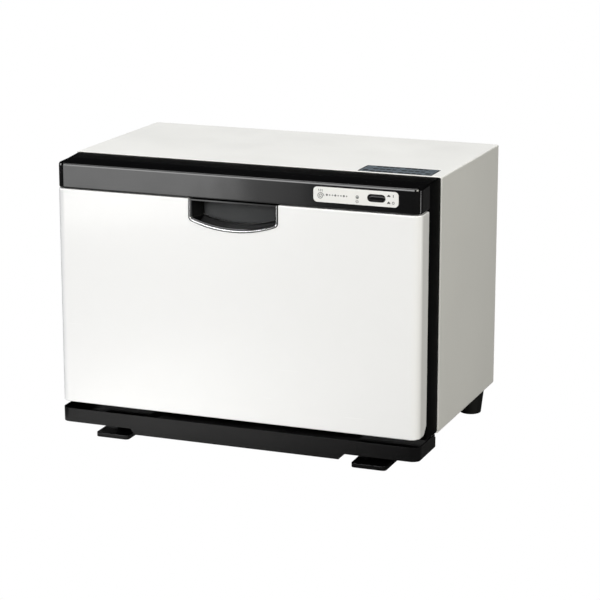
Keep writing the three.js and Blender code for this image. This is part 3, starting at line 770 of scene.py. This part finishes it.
def makeSymbols():
    # plain signs: a rolled towel with rising heat, dots, a power ring, and marks beside the rocker
    s = symbolSettings
    face = edges("control_panel")[2]
    low, high, line, fine = face - s["raise"], face + s["sink"], s["line"], s["fine"]
    bm = bmesh.new()
    roll = []
    for k in range(s["rollPoints"]):
        r, a = s["towelR"] * (1 - k / s["rollFade"]), k * s["rollTurn"]
        roll.append((s["towelX"] + r * math.cos(a), kz - s["towelDrop"] + r * math.sin(a)))
    addRibbon(bm, "y", roll, line, low, high)
    for i in range(s["strokes"]):
        x = s["towelX"] + s["strokePitch"] * (i - 1)
        stroke = [(x + 0.4 * math.sin(k * 1.1), kz + s["strokeUp"] + 0.45 * k) for k in range(7)]
        addRibbon(bm, "y", stroke, line * 0.8, low, high)
    for i in range(s["dots"]):
        x, r = s["towelX"] + s["dotStart"] + s["dotPitch"] * i, s["dotR"] * (1 + 0.5 * (i % 3 == 0))
        addPatch(bm, "y", circle(x, kz - 0.2, r, 12), low, high)
    addRibbon(bm, "y", arc(lx, lz - s["ringDrop"], s["ringR"], 125, 415, 16), fine, low, high)
    addRibbon(bm, "y", [(lx, lz - 3.2), (lx, lz - 4.8)], fine, low, high)
    settle(newObject("panelSymbols", bm), printPale, "cabinet")
    bm = bmesh.new()
    for z, mark in ((kz + 3.7, "line"), (kz - 3.9, "ring")):
        x = kx + s["markX"]
        sign = x + s["signX"]
        wedge = [(x - 2.3, z - 1.1), (x + 2.3, z - 1.1), (x + 0.5, z + 1.2), (x - 0.5, z + 1.2)]
        addPatch(bm, "y", wedge, low, high)
        if mark == "line":
            addRibbon(bm, "y", [(sign, z - 1.4), (sign, z + 1.4)], 0.7, low, high)
        else:
            addRibbon(bm, "y", circle(sign, z, 1.2, 16), 0.55, low, high, closed=True)
    settle(newObject("switchMarks", bm), printGrey, "cabinet")


makeSymbols()

labelSettings = {"gap": 0.2, "corner": 1.2, "border": 1.5, "borderIn": 1.1, "rows": 3, "rowEdge": 5.5,
                 "bar": 5.4, "barGap": 1.4, "barLeast": 2.6, "fieldIn": 13, "fieldGap": 3, "signIn": 7,
                 "signR": 3.0, "seed": 7}


def makeLabel():
    # a film with a border and short bars in two fields
    s = labelSettings
    x0, x1, y0, y1, _, z1 = edges("info_label")
    gap = s["gap"]
    film = loft("infoLabel", "z", insetRect(x0 + gap, y0 + gap, x1 - gap, y1 - gap, s["corner"]),
                fillets(z1 - 0.35, z1 - 0.04, 0, 0.08))
    settle(smooth(film), filmGrey, "cabinet", "info_label", slot="label_film")
    low, high = z1 - 0.15, z1 - 0.01
    bm = bmesh.new()
    edge = s["borderIn"]
    rim = roundRect(x0 + edge, y0 + edge, x1 - edge, y1 - edge, 0.8)
    addRibbon(bm, "z", rim, s["border"], low, high, closed=True)
    middle = (x0 + x1) / 2
    addRibbon(bm, "z", [(middle, y0 + 3), (middle, y1 - 3)], 0.5, low, high)
    length, pitch = s["seed"], (y1 - y0 - 2 * s["rowEdge"]) / (s["rows"] - 1)
    for left, right in ((x0 + s["fieldIn"], middle - s["fieldGap"]),
                        (middle + s["fieldGap"], x1 - s["fieldIn"])):
        for row in range(s["rows"]):
            x, y = left, y1 - s["rowEdge"] - row * pitch
            while x < right - 2:
                length = (length * 13 + 5) % 17
                end = min(x + s["barLeast"] + length * 0.34, right)
                addRibbon(bm, "z", [(x, y), (end, y)], s["bar"], low, high)
                x = end + s["barGap"]
    for side in (x0 + s["signIn"], x1 - s["signIn"]):
        addRibbon(bm, "z", circle(side, (y0 + y1) / 2 + 6, s["signR"], 24), 0.6, low, high, closed=True)
        addPatch(bm, "z", roundRect(side - 3, y0 + 6, side + 3, y0 + 13, 0.8, 3), low, high)
    settle(newObject("labelPrint", bm), filmInk, "cabinet")


makeLabel()

doorSettings = {"corner": 10.6, "edge": 1.5, "skin": 1.6, "heel": 10.0, "fieldHalf": 180.0, "fieldRise": 4.5,
                "fieldCorner": 14.0}
pullSettings = {"shoulder": 5.5, "turn": 62.0, "foot": 24.2, "bead": 2.4, "lip": 0.75, "wall": 1.5,
                "draft": 5.6, "rise": 2.4, "floorEdge": 0.7, "plate": 0.5}


def pullOutline(inset, top, up=None):
    # straight sides, round shoulders and a shallow arc below, drawn in by the inset and up from below
    up = inset if up is None else up
    trim = edges("handle_trim")
    tip, half = trim[4], trim[1]
    sag = trim[5] - pullSettings["foot"] - tip
    radius = (half * half + sag * sag) / (2 * sag)
    r = max(pullSettings["shoulder"] - inset * 0.8, 0.8)
    reach = half - inset - r * (1 - math.cos(math.radians(pullSettings["turn"])))
    middle = tip + up + radius
    low = middle - math.sqrt(radius * radius - reach * reach)
    end = math.degrees(math.asin(reach / radius))
    centre = low + r * math.sin(math.radians(pullSettings["turn"]))
    right = arc(half - inset - r, centre, r, -pullSettings["turn"], 0, 7)
    bottom = arc(0, middle, radius, 270 - end, 270 + end, 24)[1:-1]
    left = [(-x, z) for x, z in reversed(right)]
    return [(inset - half, top)] + left + bottom + right + [(half - inset, top)]


def armSlots(high):
    rearY, bottom = edges("door_panel")[3:5]
    cuts = []
    for side in ("left", "right"):
        middle, pinY, _ = centreOf("hinge_pin_" + side)
        cuts.append(box(middle - 3.4, middle + 3.4, pinY - 5.6, rearY + 1, bottom - 1, high))
    return cuts


def makeDoor():
    s, p = doorSettings, pullSettings
    _, x1, y0, y1, z0, z1 = edges("door_panel")
    skin, heel = s["skin"], s["heel"]
    panel = loft("doorPanel", "z", lambda i: frontRounded(x1 - i, y0 + i, y1, s["corner"] - i, 12),
                 fillets(z0, z1, s["edge"], s["edge"], 5))
    hollow = prism("hollow", "z", frontRounded(x1 - skin, y0 + skin, y1 + 1, s["corner"] - skin),
                   z0 + skin, z1 - skin)
    wedge = prism("wedge", "x", [(y1 - heel, z0 - 1), (y1 + 1, z0 - 1), (y1 + 1, z0 + heel + 1),
                                 (y1, z0 + heel), (y1 - heel, z0)], -x1 - 5, x1 + 5)
    notch = prism("notch", "y", pullOutline(-0.3, z1 + 5), y0 - 1, y1 - 2)
    combine(panel, [hollow, wedge, notch] + armSlots(z0 + skin + 1))
    settle(smooth(panel), doorEnamel, "door", "door_panel", slot="door_paint")

    lx0, lx1, _, _, _, lz1 = edges("door_liner")
    section = [(y1, lz1), (y1 - skin, lz1), (y1 - skin, z0 + heel + 1), (y1 - heel - 0.4, z0 + skin + 0.3),
               (y1 - heel + 1.6, z0 + 1.6), (y1, z0 + heel)]
    liner = prism("doorLiner", "x", section, lx0, lx1)
    seal = edges("door_seal")
    low, high = seal[4] + 17, seal[5] - 17
    rise = fillets(y1 - 1, y1 + s["fieldRise"], 0, 2.0)
    field = loft("field", "y", lambda i: roundRect(-s["fieldHalf"] + i, low + i, s["fieldHalf"] - i, high - i,
                                                   s["fieldCorner"]),
                 [(0, rise[0][1])] + [(i + 2.5, y) for i, y in rise[1:]])
    combine(liner, [field], "UNION")
    combine(liner, armSlots(centreOf("hinge_pin_left")[2] + 5.6))
    settle(smooth(liner), linerWhite, "door", "door_liner", slot="liner_white")

    cy0, cy1, cz1 = edges("handle_cup")[2], edges("handle_cup")[3], edges("handle_cup")[5]
    start, wall = p["bead"] + 0.3, p["wall"]
    floor = cy1 - wall
    cup = prism("handleCup", "y", pullOutline(start, cz1), cy0, cy1)
    front, edge = start + wall, p["floorEdge"]
    inside = [((front - 0.6, front - 0.6), cy0 - 1), ((front - 0.6, front - 0.6), cy0),
              ((front, front), cy0 + 0.6)]
    for angle in range(0, 91, 30):
        turn = math.radians(angle)
        inward = edge * (1 - math.cos(turn))
        inside.append(((front + p["draft"] - edge + inward, front + p["rise"] - edge + inward),
                       floor - edge * (1 - math.sin(turn))))
    well = loft("well", "y", lambda i: pullOutline(i[0], cz1 - wall, i[1]), inside)
    combine(cup, [well])
    settle(smooth(cup), glossBlack, "door", "handle_cup", slot="gloss_black")

    # a satin plate lies on the back of the recess
    across, up = front + p["draft"] + 0.5, front + p["rise"] + 0.5
    plate = loft("pullPlate", "y", lambda i: pullOutline(across + i, cz1 - wall - 0.4 - i, up + i),
                 fillets(floor - p["plate"], floor + 0.1, 0.25, 0))
    settle(smooth(plate), plateBlack, "door")

    # the bright bead lies inside a thin black edge, painted shade for the dark gap round the bead
    lip, bead = p["lip"], p["bead"] / 2 - p["lip"] / 2
    ty = edges("handle_trim")[2] + bead
    path = [(x, ty, z) for x, z in pullOutline(lip + bead, z1)]
    trim = sweep("handleTrim", [(path, False)], bead, 20, brightChrome)
    settle(smooth(trim, 60), brightChrome, "door", "handle_trim", slot="pull_chrome")
    rim = [(x, ty + bead * 0.4, z) for x, z in pullOutline(lip / 2 + 0.1, z1)]
    settle(smooth(sweep("pullLip", [(rim, False)], lip / 2 + 0.1, 12, frameBlack), 60), frameBlack, "door")


makeDoor()
say("door and pull made")

sealSettings = {"width": 7.5, "corner": 12.0}


def makeSeal():
    # a lip seal: a flat foot on the frame with a soft bulge against the door
    x0, x1, y0, y1, z0, z1 = edges("door_seal")
    w = sealSettings["width"]
    section = [(0, y1), (0, y1 - 0.7), (0.6, y1 - 1.0), (1.6, y1 - 0.9), (2.2, y0 + 0.4), (3.2, y0 + 0.08),
               (4.4, y0), (5.6, y0 + 0.15), (6.6, y0 + 0.6), (w, y1 - 0.9), (w, y1)]
    outline = lambda inward: roundRect(x0 + inward, z0 + inward, x1 - inward, z1 - inward,
                                       sealSettings["corner"] + 9 - inward)
    seal = loft("doorSeal", "y", outline, section, closed=True)
    settle(smooth(seal, 50), sealSilicone, "cabinet", "door_seal", slot="seal_silicone")


makeSeal()

tankSettings = {"wall": 1.0, "flange": 13.0, "corner": 14.0, "backEdge": 8.0}


def makeTank():
    s = tankSettings
    _, x1, y0, y1, z0, z1 = edges("chamber")
    half, low, high = x1 - s["flange"], z0 + s["flange"], z1 - s["flange"]
    outline = lambda grow: roundRect(-half - grow, low - grow, half + grow, high + grow,
                                     s["corner"] + grow, 8)
    t, e = s["wall"], s["backEdge"]
    inside = [(-e * (1 - math.sin(math.radians(a))), y1 - t - e * (1 - math.cos(math.radians(a))))
              for a in range(0, 91, 15)]
    outside = [(t, y0 + t), (t, y1)]
    rings = inside + [(0, y0 + 1.2), (0.35, y0 + 0.35), (1.2, y0), (s["flange"], y0),
                      (s["flange"], y0 + t)] + outside
    tank = loft("heatedChamber", "y", outline, rings)
    settle(smooth(tank, 40), tankAluminium, "cabinet", "chamber", slot="chamber_aluminium")


makeTank()

shelfSettings = {"rimR": 2.0, "wireR": 1.3, "wires": 17, "corner": 9.0}


def makeShelf():
    s = shelfSettings
    x0, x1, y0, y1, z0, z1 = edges("wire_shelf")
    r, z = s["rimR"], (z0 + z1) / 2
    rim = [(x, y, z) for x, y in roundRect(x0 + r, y0 + r, x1 - r, y1 - r, s["corner"], 8)]
    wires = []
    for i in range(1, s["wires"] - 1):
        x = x0 + r + i * (x1 - x0 - 2 * r) / (s["wires"] - 1)
        wires.append(([(x, y0 + r, z + 1.4), (x, y1 - r, z + 1.4)], False))
    cross = [([(x0 + r, y, z - 0.6), (x1 - r, y, z - 0.6)], False) for y in (y0 + 50, y1 - 50)]
    parts = [sweep("rim", [(rim, True)], r, 14, shelfPlating),
             sweep("wires", wires, s["wireR"], 10, shelfPlating),
             sweep("cross", cross, s["wireR"], 10, shelfPlating)]
    shelf = join("wireShelf", parts)
    settle(smooth(shelf, 60), shelfPlating, "shelf", "wire_shelf", slot="shelf_wire")


makeShelf()

traySettings = {"outer": 17.0, "middle": 10.0, "step": 127.0, "rise": 5.5, "corner": 11.0, "bend": 1.7,
                "wall": 1.5, "clearance": 0.5, "edge": 0.7, "backIn": 14.2, "tongueIn": 3, "tongueTop": 5.5,
                "seamX": 150.0, "seamHalf": 0.3, "seamProud": 0.25, "dotHalf": 0.8, "dotProud": 0.45}


def makeTray():
    s = traySettings
    x0, x1, y0 = edges("drip_tray")[:3]
    y1 = edges("front_frame")[3] - s["backIn"]
    top = edges("casing_shell")[4] - s["clearance"]

    def solid(name, inset, height):
        low, high = s["outer"] + inset, s["middle"] + inset
        reach, step, rise, r = x1 - inset, s["step"], s["rise"], s["bend"] - inset
        outline = ([(-step - rise, low), (-step, high), (step, high), (step + rise, low)]
                   + arc(reach - r, low + r, r, 270, 360, 6) + [(reach, height), (-reach, height)]
                   + arc(-reach + r, low + r, r, 180, 270, 6))
        across = prism(name, "y", outline, y0 - 2, y1 + 2)
        plan = prism("plan", "z", frontRounded(reach, y0 + inset, y1 - inset, s["corner"] - inset, 10), 0,
                     height + 1)
        return combine(across, [plan], "INTERSECT")

    tray = solid("dripTray", 0, top)
    tidyFlats(tray)
    bevel(tray, s["edge"], 3, 35)
    inside = solid("inside", s["wall"], top + 2)
    low = box(x0 - 1, x1 + 1, y1 - s["wall"] - 1, y1 + 1, top - 3.7, top + 3)
    combine(tray, [inside, low])
    tongues = []
    for side in ("left", "right"):
        a, b, _, _, c, _ = edges("tray_runner_" + side)
        t = s["tongueIn"]
        tongues.append(box(a + t, b - t, y1 - 1, edges("drip_tray")[3], c + t, c + s["tongueTop"]))
    # a fine upright seam with a dot at its top
    at, thin, wide = s["seamX"], s["seamHalf"], s["dotHalf"]
    seam = [box(at - thin, at + thin, y0 - s["seamProud"], y0 + 0.3, s["outer"] + 1, top - 1.2),
            box(at - wide, at + wide, y0 - s["dotProud"], y0 + 0.3, top - 2.6, top - 1.0)]
    tray = join("dripTray", [tray] + tongues + seam)
    settle(smooth(tray), trayBlack, "tray", "drip_tray", slot="tray_black")


makeTray()
say("seal, chamber, shelf and tray made")

footSettings = {"pad": 5.2, "corner": 4.5, "edge": 0.8, "armY": -77.0, "toeY": -86.0, "armZ": 14.0,
                "screwR": 5.4, "screwSeat": 20.0, "rearTop": 16.5, "rearBottom": 13.0}


def makeFeet():
    s = footSettings
    for side in ("left", "right"):
        x0, x1, y0, y1, z0, z1 = edges("front_foot_" + side)
        name = side.capitalize()
        section = [(y0, z0), (y1, z0), (y1, z1), (s["armY"], z1), (s["armY"], s["armZ"]),
                   (s["toeY"], s["pad"] + 0.8), (y0, s["pad"])]
        foot = prism("frontFoot" + name, "x", section, x0, x1)
        combine(foot, [prism("plan", "z", roundRect(x0, y0, x1, y1, s["corner"]), z0 - 1, z1 + 1)],
                "INTERSECT")
        bevel(foot, s["edge"], 3, 35)
        centre = centreOf("front_foot_screw_" + side)[:2]
        combine(foot, [prism("recess", "z", circle(*centre, s["screwR"]), z0 - 1, s["screwSeat"])])
        settle(smooth(foot), footBlack, "cabinet", "front_foot_" + side, slot="satin_black")

        z0, z1 = edges("rear_foot_" + side)[4:6]
        cx, cy, _ = centreOf("rear_foot_" + side)
        hole = s["screwR"]
        profile = [(hole, s["screwSeat"]), (hole, z0 + 0.6), (hole + 0.6, z0), (s["rearBottom"] - 1.2, z0),
                   (s["rearBottom"] - 0.35, z0 + 0.35), (s["rearBottom"], z0 + 1.2),
                   (s["rearTop"] - 0.3, z1 - 4.5), (s["rearTop"], z1 - 4), (s["rearTop"], z1 - 0.3),
                   (s["rearTop"] - 0.3, z1)]
        rear = lathe("rearFoot" + name, "z", cx, cy, profile, 56)
        settle(smooth(rear, 40), rubberBlack, "cabinet", "rear_foot_" + side, slot="rubber_black")


makeFeet()

screwSettings = {"r": 3.6, "shankR": 1.6, "shank": 8.0, "height": 2.1}


def makeScrews():
    s = screwSettings
    r, h = s["r"], s["height"]
    profile = [(s["shankR"], -s["shank"]), (s["shankR"], -0.01), (r - 0.15, 0), (r, 0.15)]
    profile += [(r * math.cos(math.radians(a)), 0.5 + (h - 0.5) * math.sin(math.radians(a)))
                for a in range(8, 86, 11)]
    screw = lathe("screw", "z", 0, 0, profile, 32)
    cross = [box(-1.9, 1.9, -0.45, 0.45, h - 1.2, h + 1), box(-0.45, 0.45, -1.9, 1.9, h - 1.2, h + 1)]
    smooth(combine(screw, cross), 40)
    spots = []
    places = ["back_screw_" + a + "_" + b for a in ("left", "right") for b in ("lower", "upper")]
    for i, name in enumerate(places):
        x, _, z = centreOf(name)
        spots.append(((x, edges(name)[3] - h, z), (-math.pi / 2, 0.4 + 0.7 * i, 0), 1.0))
    feet = [a + "_foot_screw_" + b for a in ("front", "rear") for b in ("left", "right")]
    for i, name in enumerate(feet):
        x0, x1 = edges(name)[0:2]
        x, y, _ = centreOf(name)
        spots.append(((x, y, footSettings["screwSeat"] - 0.2),
                      (math.pi, 0, 0.9 + 0.6 * i), (x1 - x0) / 2 / r))
    screws = scatter("cabinetScrews", screw, spots, zincPlate)
    settle(smooth(screws, 40), zincPlate, "cabinet", *places, *feet, slot="zinc_steel")


makeScrews()

louvreSettings = {"half": 3.3, "length": 18.6, "rise": 2.1, "sheet": 0.6, "count": 10, "pitch": 16.0,
                  "rows": (86.0, 262.0)}


def makeLouvres():
    # a pressed hood over one side of each slot in the back
    s = louvreSettings

    def hood(name, thin):
        bm = bmesh.new()
        bmesh.ops.create_uvsphere(bm, u_segments=20, v_segments=12, radius=1)
        size = Vector((s["half"] - thin, s["rise"] - thin, s["length"] - thin)) * mm
        for vertex in bm.verts:
            vertex.co = Vector((vertex.co.x * size.x, vertex.co.y * size.y, vertex.co.z * size.z))
        return newObject(name, bm)

    shape = hood("hood", 0)
    combine(shape, [hood("inside", s["sheet"]), box(-6, 6, -6, 0, -30, 30), box(-6, 0.3, -6, 6, -30, 30)])
    smooth(shape, 40)
    face = edges("back_panel")[3]
    spots = []
    for z in s["rows"]:
        for i in range(s["count"]):
            spots.append((((i - (s["count"] - 1) / 2) * s["pitch"] - 0.6, face - 0.05, z), (0, 0, 0), 1.0))
    hoods = scatter("backLouvres", shape, spots, casingPaint)
    settle(smooth(hoods, 40), casingPaint, "cabinet", slot="casing_paint")


makeLouvres()


def makeGland():
    x0, x1, y0, y1, z0, z1 = edges("cord_gland")
    cx, cz, r = (x0 + x1) / 2, (z0 + z1) / 2, (x1 - x0) / 2
    profile = [(3.8, y0), (3.8, y1 - 0.5), (4.3, y1), (r - 2.2, y1), (r - 0.6, y1 - 0.7), (r, y1 - 1.6),
               (r, y1 - 2.5), (7.6, y1 - 2.5), (7.6, y0)]
    gland = lathe("cordGland", "y", cx, cz, profile, 48, closed=True)
    settle(smooth(gland, 40), rubberBlack, "cabinet", "cord_gland", slot="rubber_black")


makeGland()
say("feet, screws, louvres and gland made")

# the pieces that keep their own shape, and the finish of each
carried = {
    casingPaint: ["back_panel"],
    zincPlate: ["base_plate", "magnet_catch_left", "magnet_catch_right", "strike_plate_left",
                "strike_plate_right", "hinge_bracket_left", "hinge_bracket_right", "hinge_pin_left",
                "hinge_pin_right", "tray_runner_left", "tray_runner_right"],
    tankAluminium: ["shelf_rail_left", "shelf_rail_right"],
    mouldBlack: ["switch_housing", "hinge_block_left", "hinge_block_right"],
    feltPale: ["insulation_left", "insulation_right", "insulation_top", "insulation_bottom",
               "insulation_back", "door_insulation"],
    heaterFilm: ["heater_left", "heater_right", "heater_bottom"],
    bakelite: ["thermostat", "terminal_block"],
    brightChrome: ["thermal_fuse"],
}
for material, names in carried.items():
    for name in names:
        nodes[name].data.materials.clear()
        nodes[name].data.materials.append(material)

stageSettings = {"floor": 60.0, "floorBounce": (0.06, 0.06, 0.06), "cardBounce": (0.45, 0.45, 0.45),
                 "skySeen": 1.0, "skyLit": 0.004, "cardLeft": (-0.30, -0.26), "cardRight": (-0.12, 0.2),
                 "cardFront": (-0.7, -0.45)}


def makeStage():
    # floor and sky look white; the light they give back is dim, but for a pale card before the tray
    s = stageSettings
    half = s["floor"] / 2
    bm = bmesh.new()
    corners = [(-half, -half), (half, -half), (half, half), (-half, half)]
    bm.faces.new([bm.verts.new((x, y, 0)) for x, y in corners])
    floor = newObject("paleFloor", bm, closed=False)
    paint = finish("floorPaint", s["floorBounce"], s["floorBounce"], 3, 0.3, (0.8, 0.9), 5, 0.0, 400, 2,
                   depth=0.01, specular=0.0)
    tree = paint.node_tree
    shader = tree.nodes["Principled BSDF"]
    base = shader.inputs["Base Color"].links[0].from_socket
    split = tree.nodes.new("ShaderNodeSeparateXYZ")
    link(tree, tree.nodes.new("ShaderNodeTexCoord").outputs["Object"], split.inputs["Vector"])
    card = mixColor(tree, rangeNode(tree, split.outputs["X"], *s["cardLeft"]), (0, 0, 0), s["cardBounce"])
    card = mixColor(tree, rangeNode(tree, split.outputs["X"], *s["cardRight"]), card, (0, 0, 0))
    card = mixColor(tree, rangeNode(tree, split.outputs["Y"], *s["cardFront"]), (0, 0, 0), card)
    both = tree.nodes.new("ShaderNodeVectorMath")
    link(tree, base, both.inputs[0])
    link(tree, card, both.inputs[1])
    link(tree, both.outputs["Vector"], shader.inputs["Base Color"])
    shown = tree.nodes.new("ShaderNodeMixShader")
    link(tree, tree.nodes.new("ShaderNodeLightPath").outputs["Is Camera Ray"], shown.inputs[0])
    link(tree, shader.outputs["BSDF"], shown.inputs[1])
    link(tree, tree.nodes.new("ShaderNodeEmission").outputs["Emission"], shown.inputs[2])
    link(tree, shown.outputs["Shader"], tree.nodes["Material Output"].inputs["Surface"])
    floor.data.materials.append(paint)

    world = bpy.data.worlds.new("studio")
    bpy.context.scene.world = world
    world.use_nodes = True
    tree = world.node_tree
    background = tree.nodes["Background"]
    path = tree.nodes.new("ShaderNodeLightPath")
    shown = rangeNode(tree, path.outputs["Is Camera Ray"], 0, 1, s["skyLit"], s["skySeen"])
    link(tree, shown, background.inputs["Strength"])
    background.inputs["Color"].default_value = (1, 1, 1, 1)


makeStage()

sunSettings = {"strength": 2.8, "spread": 50.0, "turn": (0.05, -0.1, 0)}
lightSettings = {  # place, aim, width and height in metres, watts, colour
    "front": ((-0.55, -3.6, 1.7), (0, -0.1, 0.15), (3.2, 0.9), 68, (1.0, 1.0, 1.0)),
    "lowLeftWide": ((-0.655, -1.22, 0.11), (-0.12, -0.14, 0.31), (0.37, 0.2), 0.88, (1.0, 1.0, 1.0)),
    "lowLeftMiddle": ((-0.40, -1.22, 0.11), (-0.05, -0.14, 0.31), (0.14, 0.2), 0.09, (1.0, 1.0, 1.0)),
    "lowLeftFaint": ((-0.26, -1.22, 0.11), (0.1, -0.14, 0.31), (0.14, 0.2), 0.01, (1.0, 1.0, 1.0)),
    "warmRight": ((2.9, -2.1, 1.5), (0.2, 0, 0.15), (1.6, 1.6), 88, (1.0, 0.98, 0.89)),
    "lowRight": ((1.083, 0.063, 0.085), (0.215, -0.135, 0.31), (0.14, 0.14), 0.35, (1.0, 1.0, 1.0)),
    "leftFill": ((-3.2, -0.7, 1.0), (-0.2, -0.1, 0.15), (1.6, 1.6), 38, (1.0, 1.0, 1.0)),
    "rearFill": ((-1.6, 3.0, 2.8), (0, 0.14, 0.15), (1.2, 1.2), 3, (1.0, 1.0, 1.0)),
}


def makeLights():
    s = sunSettings
    data = bpy.data.lights.new("softTop", "SUN")
    data.energy, data.angle = s["strength"], math.radians(s["spread"])
    sun = bpy.data.objects.new("softTop", data)
    sun.rotation_euler = s["turn"]
    bpy.context.scene.collection.objects.link(sun)
    for name, (at, aim, (width, height), watts, color) in lightSettings.items():
        data = bpy.data.lights.new(name, "AREA")
        data.shape, data.size, data.size_y, data.energy, data.color = "RECTANGLE", width, height, watts, color
        light = bpy.data.objects.new(name, data)
        light.location = at
        light.rotation_euler = (Vector(aim) - Vector(at)).to_track_quat("-Z", "Y").to_euler()
        light.visible_camera = False
        bpy.context.scene.collection.objects.link(light)


makeLights()

cameraSettings = {"aim": (0.0236, 0.0055, 0.1521), "around": 21.26, "above": 14.04, "distance": 2.6316,
                  "lens": 132.66}


def makeCamera():
    s = cameraSettings
    a, e = math.radians(s["around"]), math.radians(s["above"])
    back = Vector((math.sin(a) * math.cos(e), -math.cos(a) * math.cos(e), math.sin(e)))
    data = bpy.data.cameras.new("camera")
    data.lens, data.sensor_width = s["lens"], 36
    camera = bpy.data.objects.new("camera", data)
    camera.location = Vector(s["aim"]) + back * s["distance"]
    camera.rotation_euler = (-back).to_track_quat("-Z", "Y").to_euler()
    bpy.context.scene.collection.objects.link(camera)
    bpy.context.scene.camera = camera
    bpy.context.scene.view_settings.view_transform = "Standard"


makeCamera()
say("stage, lights and camera set")
